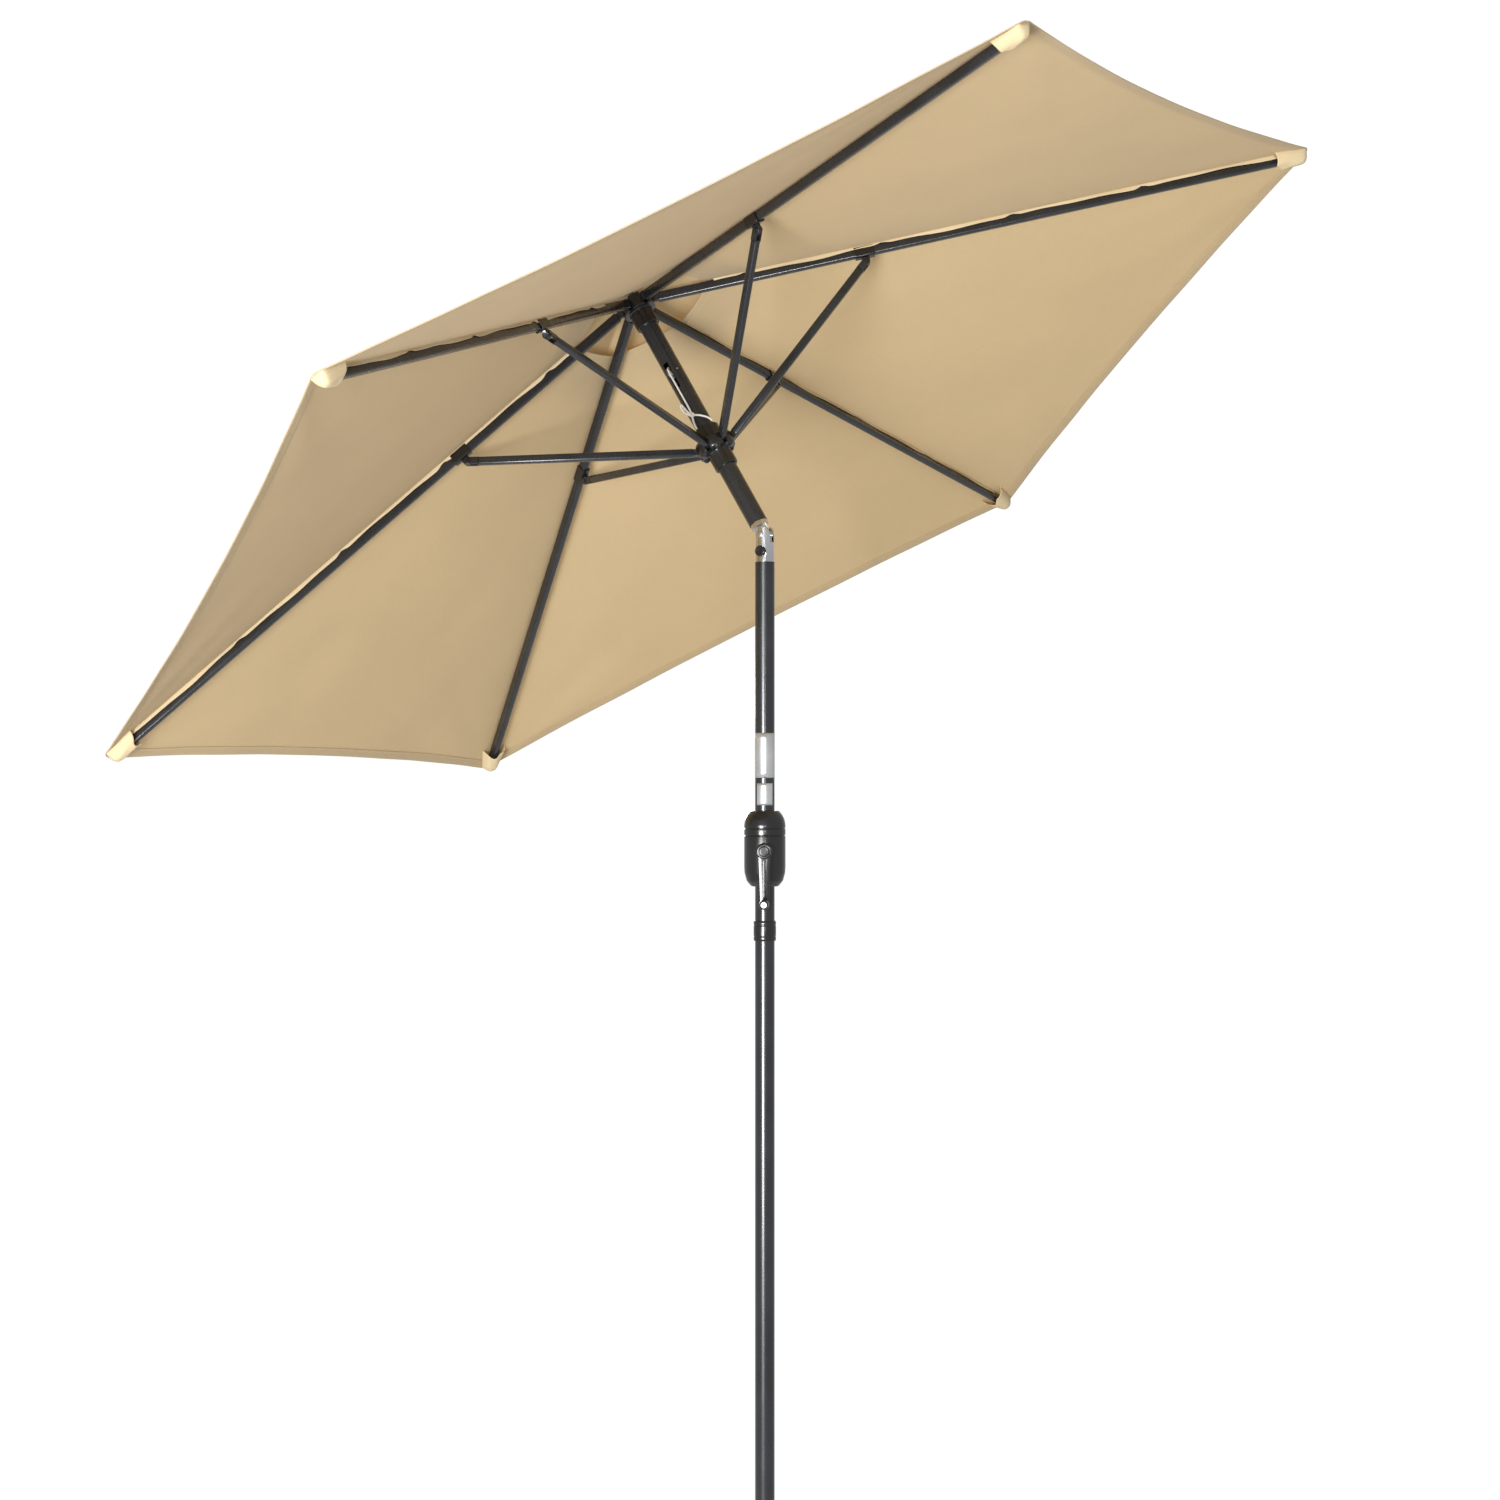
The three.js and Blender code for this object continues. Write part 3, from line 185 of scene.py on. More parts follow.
class Form:
    """The vertices, faces, cloth coordinates and edge distances of one piece."""

    def __init__(self) -> None:
        """An empty form."""
        self.points: list = []
        self.quads: list = []
        self.tris: list = []
        self.quad_maps: list = []
        self.marks: list = []
        self.count = 0
        self.mapped = False

    def skin(
        self,
        grid: np.ndarray,
        around: bool = False,
        along: bool = False,
        capped: bool = False,
        cloth: np.ndarray | None = None,
        mark: np.ndarray | None = None,
    ) -> "Form":
        """Adds a grid of points as a surface, and turns a closed one outwards.

        A closed surface's volume is the sum of a . (b x c) / 6 over its triangles, and where that is
        negative the faces are turned over.

        Args:
            grid: Points in metres, shape (U, V, 3).
            around: Joins the last column to the first.
            along: Joins the last row to the first.
            capped: Closes the first and last rows with fans.
            cloth: Flat coordinates in metres, one row or column more where the grid is joined.
            mark: Distance to the nearest sewn edge in metres, shape (U, V).

        Returns:
            This form.
        """
        rows, columns = grid.shape[:2]
        index = np.arange(rows * columns).reshape(rows, columns) + self.count
        wide = np.concatenate([index, index[:, :1]], 1) if around else index
        wide = np.concatenate([wide, wide[:1]], 0) if along else wide
        quads = np.stack([wide[:-1, :-1], wide[1:, :-1], wide[1:, 1:], wide[:-1, 1:]], -1).reshape(-1, 4)
        points = grid.reshape(-1, 3)
        tris = np.zeros((0, 3), int)
        if capped:
            ends = np.stack([grid[0].mean(0), grid[-1].mean(0)])
            points = np.vstack([points, ends])
            first = self.count + rows * columns
            ring, nxt = index[0], np.roll(index[0], -1)
            last, last_next = index[-1], np.roll(index[-1], -1)
            tris = np.vstack(
                [
                    np.stack([ring, nxt, np.full(columns, first)], 1),
                    np.stack([last_next, last, np.full(columns, first + 1)], 1),
                ]
            )
        local = points
        if around and (along or capped):
            q, t = quads - self.count, tris - self.count
            faces = np.vstack([q[:, [0, 1, 2]], q[:, [0, 2, 3]], t])
            a, b, c = (local[faces[:, i]] for i in range(3))
            if np.einsum("ij,ij->i", a - local.mean(0), np.cross(b - local.mean(0), c - local.mean(0))).sum() < 0:
                quads, tris = quads[:, ::-1], tris[:, ::-1]
                flipped = True
            else:
                flipped = False
        else:
            flipped = False
        if cloth is None:
            cloth = np.zeros((wide.shape[0], wide.shape[1], 2))
        else:
            self.mapped = True
        maps = np.stack([cloth[:-1, :-1], cloth[1:, :-1], cloth[1:, 1:], cloth[:-1, 1:]], 2).reshape(-1, 4, 2)
        self.quad_maps.append(maps[:, ::-1] if flipped else maps)
        marks = np.ones(rows * columns) if mark is None else mark.reshape(-1)
        self.marks.append(np.concatenate([marks, np.ones(len(points) - len(marks))]))
        self.points.append(points)
        self.quads.append(quads)
        self.tris.append(tris)
        self.count += len(points)
        return self

    def lathe(self, axes: Axes, profile: np.ndarray, steps: int = 64, ring: bool = False) -> "Form":
        """Adds a turned surface: x = r cos a, y = r sin a, z = z for each profile point and angle a.

        Args:
            axes: Whose z is the turning axis.
            profile: Radius and height points.
            steps: Angles in the full turn.
            ring: The profile is a closed loop clear of the axis.

        Returns:
            This form.
        """
        turn = np.linspace(0, 2 * np.pi, steps, endpoint=False)
        r, z = profile[:, 0][:, None], profile[:, 1][:, None]
        grid = np.stack([r * np.cos(turn), r * np.sin(turn), z + 0 * turn], -1)
        return self.skin(axes.place(grid), around=True, along=ring, capped=not ring)

    def extrude(
        self, axes: Axes, section: np.ndarray, stations: np.ndarray, shrink: np.ndarray | None = None
    ) -> "Form":
        """Adds a section carried along x: (station, section y times shrink, section z times shrink).

        Args:
            axes: Whose x is the direction.
            section: The closed outline in y and z.
            stations: Places along x.
            shrink: The section's scale at each station.

        Returns:
            This form.
        """
        scale = np.ones(len(stations)) if shrink is None else np.asarray(shrink, float)
        x = np.asarray(stations, float)[:, None] + 0 * section[:, 0][None]
        grid = np.stack([x, scale[:, None] * section[:, 0], scale[:, None] * section[:, 1]], -1)
        return self.skin(axes.place(grid), around=True, capped=True)

    def plate(self, axes: Axes, outline: np.ndarray, low: float, high: float, edge: float) -> "Form":
        """Adds a flat plate with eased edges.

        Each level is the outline moved inwards along its own normals by edge times (1 - sin a), and
        the levels rise by edge times (1 - cos a) at both faces.

        Args:
            axes: Whose z is the thickness.
            outline: The closed outline in x and y.
            low: The lower face.
            high: The upper face.
            edge: The easing's radius.

        Returns:
            This form.
        """
        tangent = np.roll(outline, -1, 0) - np.roll(outline, 1, 0)
        normal = np.stack([tangent[:, 1], -tangent[:, 0]], 1)
        normal /= np.linalg.norm(normal, axis=1)[:, None] + 1e-12
        side = np.sign(np.sum(np.cross(outline, np.roll(outline, -1, 0))))
        turn = np.linspace(0, np.pi / 2, 4)
        inset = edge * (1 - np.sin(turn))
        rise = edge * (1 - np.cos(turn))
        insets = np.concatenate([inset, inset[::-1]])
        levels = np.concatenate([low + rise, high - rise[::-1]])
        flat = outline[None] - side * insets[:, None, None] * normal[None]
        grid = np.concatenate([flat, np.broadcast_to(levels[:, None, None], flat.shape[:2] + (1,))], -1)
        return self.skin(axes.place(grid), around=True, capped=True)

    def cord(self, path: np.ndarray, radius: float, steps: int = 12, samples: int = 120) -> "Form":
        """Adds a round cord on one smooth curve through the points, already in metres.

        The curve is the Catmull-Rom one, sampled evenly, and its ring is radius times
        (cos a side + sin a up), with both directions square to the tangent and carried along it.

        Args:
            path: Points in metres.
            radius: In metres.
            steps: Points round the cord.
            samples: Rings along it.

        Returns:
            This form.
        """
        line = smooth_line(path, samples)
        tangent = np.gradient(line, axis=0)
        tangent /= np.linalg.norm(tangent, axis=1)[:, None]
        side = carried_normals(tangent)
        up = np.cross(tangent, side)
        turn = np.linspace(0, 2 * np.pi, steps, endpoint=False)[None, :, None]
        grid = line[:, None] + radius * (np.cos(turn) * side[:, None] + np.sin(turn) * up[:, None])
        run = np.concatenate([[0], np.cumsum(np.linalg.norm(np.diff(line, axis=0), axis=1))])
        across = np.linspace(0, 2 * np.pi * radius, steps + 1)
        cloth = np.stack(np.meshgrid(across, run), -1)
        return self.skin(grid, around=True, capped=True, cloth=cloth)

    def mesh(self, name: str) -> bpy.types.Mesh:
        """The gathered surfaces as one mesh, with UVMap and edge_distance where they are used."""
        quads, tris = np.vstack(self.quads), np.vstack(self.tris)
        points = np.vstack(self.points)
        data = bpy.data.meshes.new(name)
        data.vertices.add(len(points))
        data.vertices.foreach_set("co", points.astype(np.float32).ravel())
        loops = np.concatenate([quads.ravel(), tris.ravel()]).astype(np.int32)
        starts = np.concatenate([np.arange(len(quads)) * 4, 4 * len(quads) + 3 * np.arange(len(tris))])
        data.loops.add(len(loops))
        data.loops.foreach_set("vertex_index", loops)
        data.polygons.add(len(starts))
        data.polygons.foreach_set("loop_start", starts.astype(np.int32))
        data.update(calc_edges=True)
        if self.mapped:
            layer = data.uv_layers.new(name="UVMap")
            maps = np.concatenate([np.vstack(self.quad_maps).reshape(-1, 2), np.zeros((3 * len(tris), 2))])
            layer.uv.foreach_set("vector", maps.astype(np.float32).ravel())
            mark = data.attributes.new("edge_distance", "FLOAT", "POINT")
            mark.data.foreach_set("value", np.concatenate(self.marks).astype(np.float32))
        data.validate()
        return data


def smooth_line(points: np.ndarray, samples: int) -> np.ndarray:
    """A Catmull-Rom curve through points, then spaced evenly by its length.

    Args:
        points: The points to pass through.
        samples: How many points to give back.

    Returns:
        An array of points.
    """
    p = np.vstack([2 * points[0] - points[1], points, 2 * points[-1] - points[-2]])
    t = np.linspace(0, len(points) - 1 - 1e-9, samples * 6)
    i, u = t.astype(int), (t % 1)[:, None]
    a, b, c, d = p[i], p[i + 1], p[i + 2], p[i + 3]
    line = 0.5 * (2 * b + (c - a) * u + (2 * a - 5 * b + 4 * c - d) * u**2 + (3 * b - a - 3 * c + d) * u**3)
    run = np.concatenate([[0], np.cumsum(np.linalg.norm(np.diff(line, axis=0), axis=1))])
    even = np.linspace(0, run[-1], samples)
    return np.stack([np.interp(even, run, line[:, k]) for k in range(3)], 1)


def carried_normals(tangent: np.ndarray) -> np.ndarray:
    """A direction square to each tangent, carried from the one before it with the least turn."""
    start = np.cross(tangent[0], [0.3, 0.9, 0.2])
    found = [start / np.linalg.norm(start)]
    for step in tangent[1:]:
        side = found[-1] - step * np.dot(found[-1], step)
        found.append(side / np.linalg.norm(side))
    return np.array(found)


# ---- Finishes ----


class Slot(Enum):
    """The record's material slots."""

    BASE_PAINT = "base_paint"
    FRAME_PAINT = "frame_paint"
    PLASTIC = "black_plastic"
    CHROME = "cast_chrome"
    STEEL = "steel"
    RUBBER = "rubber"
    CORD = "white_cord"
    CANVAS = "canvas"


class Nodes:
    """A short way to lay out one material's nodes."""

    def __init__(self, name: str) -> None:
        """A new material with an empty shader."""
        self.material = bpy.data.materials.new(name)
        self.material.use_nodes = True
        self.tree = self.material.node_tree
        self.tree.nodes.clear()
        self.place = self.add("ShaderNodeTexCoord").outputs["Object"]
        self.flat = self.tree.nodes[0].outputs["UV"]

    def add(self, kind: str, settings: dict | None = None, **inputs: object) -> bpy.types.Node:
        """Adds a node.

        Args:
            kind: The node's type.
            settings: Its properties.
            **inputs: Values or sockets by input name, with _ for a space.

        Returns:
            The node.
        """
        node = self.tree.nodes.new(kind)
        for key, value in (settings or {}).items():
            setattr(node, key, value)
        for key, value in inputs.items():
            socket = node.inputs[int(key[1:])] if key[0] == "i" and key[1:].isdigit() else node.inputs[
                key.replace("_", " ")
            ]
            if isinstance(value, bpy.types.NodeSocket):
                self.tree.links.new(value, socket)
            else:
                socket.default_value = value
        return node

    def noise(
        self, scale: float, detail: float = 4, stretch: tuple = (1, 1, 1), flat: bool = False
    ) -> bpy.types.NodeSocket:
        """Noise over the piece's place, or its cloth, as a number from 0 to 1."""
        source = self.add("ShaderNodeMapping", Vector=self.flat if flat else self.place, Scale=stretch)
        return self.add("ShaderNodeTexNoise", Vector=source.outputs[0], Scale=scale, Detail=detail).outputs["Fac"]

    def mix(self, share: bpy.types.NodeSocket, a: tuple, b: tuple) -> bpy.types.NodeSocket:
        """Two colours mixed by a share."""
        node = self.add("ShaderNodeMix", {"data_type": "RGBA"}, i0=share)
        for number, value in ((6, a), (7, b)):
            if isinstance(value, bpy.types.NodeSocket):
                self.tree.links.new(value, node.inputs[number])
            else:
                node.inputs[number].default_value = (*value[:3], 1)
        return node.outputs[2]

    def math(self, operation: str, *values: object) -> bpy.types.NodeSocket:
        """One sum on numbers or sockets."""
        return self.add(
            "ShaderNodeMath", {"operation": operation}, **{f"i{n}": v for n, v in enumerate(values)}
        ).outputs[0]

    def spread(self, value: bpy.types.NodeSocket, low: float, high: float) -> bpy.types.NodeSocket:
        """A share from 0 to 1 set out between two numbers, with more contrast than the noise has."""
        return self.add(
            "ShaderNodeMapRange", Value=value, From_Min=0.35, From_Max=0.65, To_Min=low, To_Max=high
        ).outputs[0]

    def bump(self, height: bpy.types.NodeSocket, strength: float, distance: float) -> bpy.types.NodeSocket:
        """A bump of a height, its distance in metres."""
        return self.add("ShaderNodeBump", Strength=strength, Distance=distance, Height=height).outputs[0]

    def finish(self, shader: bpy.types.NodeSocket) -> bpy.types.Material:
        """Joins the shader to the output and gives the material."""
        self.add("ShaderNodeOutputMaterial", Surface=shader)
        return self.material


@dataclass(frozen=True)
class HardFinish:
    """Paint, plastic, metal or rubber: two close colours, a roughness that varies, and a fine grain."""

    name: str
    dark: tuple
    light: tuple
    rough: tuple
    metallic: float = 0.0
    grain: float = 900.0
    grain_depth: float = 0.00003
    stretch: tuple = (1, 1, 1)
    coat: float = 0.0

    def material(self) -> bpy.types.Material:
        """The finish as a material."""
        n = Nodes(self.name)
        broad, fine = n.noise(14, 5), n.noise(self.grain, 3, self.stretch)
        scuffs = n.noise(60, 8, (1, 1, 0.25))
        colour = n.mix(n.spread(broad, 0, 1), self.dark, self.light)
        rough = n.math("ADD", n.spread(scuffs, *self.rough), n.math("MULTIPLY", n.math("SUBTRACT", fine, 0.5), 0.05))
        shader = n.add(
            "ShaderNodeBsdfPrincipled",
            Base_Color=colour,
            Roughness=rough,
            Metallic=self.metallic,
            Coat_Weight=self.coat,
            Coat_Roughness=0.12,
            Normal=n.bump(fine, 0.5, self.grain_depth),
        )
        return n.finish(shader.outputs[0])


@dataclass(frozen=True)
class ClothFinish:
    """Woven cloth that lets some light through: crossed threads, slubs and two rows of stitches."""

    name: str
    warp: tuple
    weft: tuple
    thread: float = 0.0016
    through: float = 0.38
    stitched: bool = True
    stitch_rows: tuple = (0.0035, 0.0165)
    stitch_half: float = 0.0007
    stitch_rate: float = 1700
    stitch_colour: tuple = (0.85, 0.76, 0.58)

    def material(self) -> bpy.types.Material:
        """The finish as a material."""
        n = Nodes(self.name)
        split = n.add("ShaderNodeSeparateXYZ", Vector=n.flat)
        turn = 2 * math.pi / self.thread
        across = n.math("SINE", n.math("MULTIPLY", split.outputs[0], turn))
        down = n.math("SINE", n.math("MULTIPLY", split.outputs[1], turn))
        weave = n.math("MULTIPLY", across, down)
        slub = n.math("ADD", n.noise(500, 2, (1, 0.06, 1), True), n.noise(500, 2, (0.06, 1, 1), True))
        share = n.math("ADD", n.math("MULTIPLY", weave, 0.22), n.math("MULTIPLY", slub, 0.5))
        cloth = n.mix(share, self.warp, self.weft)
        worn = n.spread(n.noise(5, 5), 0.0, 0.09)
        cloth = n.mix(worn, cloth, tuple(0.72 * c for c in self.weft))
        height = n.math("ADD", n.math("MULTIPLY", weave, 0.5), slub)
        if self.stitched:
            edge = n.add("ShaderNodeAttribute", {"attribute_name": "edge_distance"}).outputs["Fac"]
            rows = [n.math("COMPARE", edge, place, self.stitch_half) for place in self.stitch_rows]
            row = n.math("MAXIMUM", *rows)
            dash = n.math(
                "GREATER_THAN", n.math("SINE",
                n.math("MULTIPLY", n.math("ADD", split.outputs[0], split.outputs[1]), self.stitch_rate)), -0.35
            )
            stitch = n.math("MULTIPLY", row, dash)
            cloth = n.mix(n.math("MULTIPLY", stitch, 0.55), cloth, self.stitch_colour)
            height = n.math("ADD", height, n.math("MULTIPLY", row, -1.6))
            height = n.math("ADD", height, n.math("MULTIPLY", stitch, 3.0))
        normal = n.bump(height, 0.45, 0.00018)
        front = n.add(
            "ShaderNodeBsdfPrincipled", Base_Color=cloth, Roughness=0.86, Sheen_Weight=0.12, Sheen_Roughness=0.5,
            Normal=normal
        )
        glow = n.add("ShaderNodeBsdfTranslucent", Color=cloth, Normal=normal)
        both = n.add("ShaderNodeMixShader", i0=self.through, i1=front.outputs[0], i2=glow.outputs[0])
        return n.finish(both.outputs[0])


@dataclass(frozen=True)
class BraidFinish:
    """A plaited cord: two sets of strands that cross along its length, with painted shade in the low places between
    them.
    """

    name: str = "braided_cord"
    light: tuple = (0.80, 0.79, 0.74)
    # dark is the colour of the painted shade between the strands
    dark: tuple = (0.46, 0.44, 0.40)

    def material(self) -> bpy.types.Material:
        """The finish as a material."""
        n = Nodes(self.name)
        split = n.add("ShaderNodeSeparateXYZ", Vector=n.flat)
        u = n.math("MULTIPLY", split.outputs[0], 2 * math.pi / 0.00267)
        v = n.math("MULTIPLY", split.outputs[1], 2 * math.pi / 0.0034)
        plait = n.math("MULTIPLY", n.math("SINE", n.math("ADD", u, v)), n.math("SINE", n.math("SUBTRACT", u, v)))
        height = n.math("ADD", plait, n.noise(2500, 2))
        # Painted shade: the colour darkens where the plait's height is low, in the grooves between the strands
        colour = n.mix(n.spread(n.math("ADD", n.math("MULTIPLY", plait, 0.2), 0.5), 0, 1), self.dark, self.light)
        shader = n.add("ShaderNodeBsdfPrincipled", Base_Color=colour, Roughness=0.8, Normal=n.bump(height, 0.7, 0.0003))
        return n.finish(shader.outputs[0])


PAINT = HardFinish(
    "powder_coat", (0.010, 0.0115, 0.014), (0.016, 0.018, 0.022), (0.24, 0.29), grain_depth=0.000006, coat=0.3
)
BASE_PAINT = HardFinish(
    "base_powder_coat", (0.018, 0.019, 0.021), (0.030, 0.031, 0.034), (0.42, 0.55), grain=420, grain_depth=0.00022
)
PLASTIC = HardFinish(
    "moulded_plastic", (0.005, 0.005, 0.0055), (0.009, 0.009, 0.010), (0.20, 0.28), grain=1300, grain_depth=0.00001,
    coat=0.3
)
CHROME = HardFinish("polished_casting", (0.60, 0.61, 0.63), (0.72, 0.73, 0.75), (0.07, 0.16), 1.0, 500)
STEEL = HardFinish(
    "plated_steel", (0.42, 0.42, 0.43), (0.58, 0.58, 0.59), (0.22, 0.36), 1.0, 1500, stretch=(1, 1, 0.05)
)
RUBBER = HardFinish(
    "black_rubber", (0.012, 0.012, 0.012), (0.020, 0.020, 0.020), (0.7, 0.85), grain=700, grain_depth=0.0001
)
FOIL = HardFinish("silver_label", (0.50, 0.51, 0.52), (0.66, 0.67, 0.68), (0.25, 0.38), 0.75, 1200, coat=0.3)
CANVAS = ClothFinish("canvas", (0.75, 0.605, 0.372), (0.665, 0.517, 0.295))
# A lighter copy of the canvas for the corner pockets and seam flaps, which are folds of the same cloth: the extra
# lightness is painted light on folds that hang under the canopy
FOLD_CLOTH_PAINTED_LIGHT = ClothFinish("fold_cloth_painted_light", (0.88, 0.74, 0.48), (0.80, 0.65, 0.39), through=0.3)
BRAID = BraidFinish()

MATERIALS = {
    f.name: f.material() for f in (PAINT, BASE_PAINT, PLASTIC, CHROME, STEEL, RUBBER, FOIL, CANVAS, FOLD_CLOTH_PAINTED_LIGHT, BRAID)
}
FINISH_OF = {
    Slot.BASE_PAINT: BASE_PAINT,
    Slot.FRAME_PAINT: PAINT,
    Slot.PLASTIC: PLASTIC,
    Slot.CHROME: CHROME,
    Slot.STEEL: STEEL,
    Slot.RUBBER: RUBBER,
    Slot.CORD: BRAID,
    Slot.CANVAS: CANVAS,
}


# ---- Pieces ----


def add_piece(
    name: str,
    shape: Form | bpy.types.Mesh,
    slot: Slot,
    body: str | None,
    replaces: tuple = (),
    finish: object | None = None,
    bevel: float = 0,
    wall: float = 0,
    sharp: float = 34,
    rim: bool = True,
) -> bpy.types.Object:
    """Makes an object of a shape, dresses it and fixes it to its body.

    Args:
        name: The piece's name.
        shape: A form or a mesh, in metres in the row frame.
        slot: The record's slot for its finish.
        body: The body it moves with, or None to leave it unattached.
        replaces: The CAD nodes it stands for.
        finish: A finish other than the slot's usual one.
        bevel: Width of an edge bevel, in metres.
        wall: Thickness of a sheet, in metres.
        sharp: Edges that turn more than this many degrees stay sharp.
        rim: Closes the edges of a sheet; gores that meet a neighbour stay open there.

    Returns:
        The object.
    """
    data = shape.mesh(name) if isinstance(shape, Form) else shape
    obj = bpy.data.objects.new(name, data)
    bpy.context.scene.collection.objects.link(obj)
    data.materials.clear()
    data.materials.append(MATERIALS[(finish or FINISH_OF[slot]).name])
    data.shade_smooth()
    data.set_sharp_from_angle(angle=math.radians(sharp))
    if bevel:
        rounding = obj.modifiers.new("edges", "BEVEL")
        rounding.width, rounding.segments, rounding.limit_method = bevel, 2, "ANGLE"
        rounding.angle_limit, rounding.harden_normals = math.radians(40), True
    if wall:
        solid = obj.modifiers.new("wall", "SOLIDIFY")
        solid.thickness, solid.offset, solid.use_rim = wall, 0, rim
    if body:
        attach(obj, body)
    if replaces:
        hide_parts(*replaces)
    LOG.info("%s: %d faces on %s", name, len(data.polygons), body or "a joint")
    return obj


def refined(node: str, name: str, slot: Slot, body: str, bevel: float = 0.0004) -> bpy.types.Object:
    """A copy of a CAD node with its corners merged, its round faces smooth and its edges eased.

    Args:
        node: The CAD node.
        name: The new piece's name.
        slot: The record's slot.
        body: The body it moves with.
        bevel: Width of the edge bevel, in metres.

    Returns:
        The new object.
    """
    data = bpy.data.meshes.new(name)
    work = bmesh.new()
    work.from_mesh(frame["nodes"][node].data)
    bmesh.ops.remove_doubles(work, verts=work.verts, dist=2e-6)
    bmesh.ops.dissolve_limit(work, angle_limit=0.01, verts=work.verts, edges=work.edges)
    bmesh.ops.recalc_face_normals(work, faces=work.faces)
    work.to_mesh(data)
    work.free()
    return add_piece(name, data, slot, body, (node,), bevel=bevel)


@dataclass
class Base:
    """The weighted plate, its tube and the clamp that holds the lower pole."""

    radius: float = 240
    pad: float = 3.3
    thickness: float = 10
    edge: float = 4

    def build(self) -> None:
        """Makes the plate, and eases the tube, clamp knob and foot pad."""
        low, high = self.pad, self.pad + self.thickness
        plate = rounded_path(
            [[18, low], [self.radius - 2, low], [self.radius, low + 3], [self.radius, high - 1], [46, high],
            [18, high]],
            self.edge,
            6,
        )
        add_piece(
            "weighted_plate", Form().lathe(GROUND, np.vstack([plate, plate[:1]])[:-1], 128, ring=True), Slot.BASE_PAINT,
            "stand", ("base_plate",)
        )
        refined("base_tube", "pole_tube", Slot.BASE_PAINT, "stand", 0.0009)
        refined("base_foot_pad", "foot_pad", Slot.RUBBER, "stand", 0.0006)
        refined("clamp_knob", "clamp_hand_knob", Slot.PLASTIC, "clamp_knob", 0.0012)


@dataclass
class Poles:
    """The three pole tubes, their collar and two blank labels."""

    radius: float = 16.3
    wall: float = 1.2
    joint: float = 1217
    mid_top: float = 1834
    collar: tuple = (1200, 1234)
    collar_radius: float = 18.8
    labels: tuple = ((1473, 1548, 118), (1427, 1464, 52))
    label_side: float = -60

    def tube(self, low: float, high: float) -> np.ndarray:
        """The closed outline of a tube's wall, with eased ends."""
        r, w = self.radius, self.wall
        return np.array(
            [[r - w, low], [r - 0.4, low], [r, low + 0.4], [r, high - 0.4], [r - 0.4, high], [r - w, high]], float
        )

    def build(self) -> None:
        """Makes the tubes, collar and labels."""
        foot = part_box("lower_pole")[0].z / MM
        add_piece(
            "lower_pole_tube", Form().lathe(GROUND, self.tube(foot, self.joint - 0.3), 72, True), Slot.FRAME_PAINT,
            "stand", ("lower_pole",)
        )
        add_piece(
            "mid_pole_tube", Form().lathe(GROUND, self.tube(self.joint, self.mid_top), 72, True), Slot.FRAME_PAINT,
            "stand", ("mid_pole",)
        )
        low, high = self.collar
        r = self.collar_radius
        ring = rounded_path(
            [[16.6, low], [r - 0.9, low], [r, low + 3], [r, low + 6], [r - 0.5, low + 6.8], [r - 0.5, low + 8.2],
            [r, low + 9],
             [r, high - 9], [r - 0.5, high - 8.2], [r - 0.5, high - 6.8], [r, high - 6], [r, high - 3], [r - 0.9, high],
             [16.6, high]],
            0.8,
        )
        add_piece("joint_collar", Form().lathe(GROUND, ring, 72, True), Slot.PLASTIC, "stand", ("pole_collar",))
        for number, (bottom, top, half) in enumerate(self.labels, 1):
            self.label(number, bottom, top, half)

    def label(self, number: int, bottom: float, top: float, half: float) -> None:
        """Makes a blank label: a sheet at the pole's radius plus its own thickness, over part of a turn.

        Args:
            number: Which label.
            bottom: Its lower edge.
            top: Its upper edge.
            half: Half of its turn round the pole, in degrees.
        """
        turn = np.radians(self.label_side + np.linspace(-half, half, 49))
        height = np.linspace(bottom, top, 9)
        r = self.radius + 0.16
        grid = np.stack(np.broadcast_arrays(r * np.cos(turn)[None], r * np.sin(turn)[None], height[:, None]), -1)
        add_piece(
            f"blank_label_{number}", Form().skin(GROUND.place(grid)), Slot.STEEL, "stand", finish=FOIL, wall=0.00015
        )

    def build_upper(self) -> None:
        """Eases the upper pole, which keeps its pulley window."""
        refined("upper_pole", "upper_pole_tube", Slot.FRAME_PAINT, "upper", 0.0003)


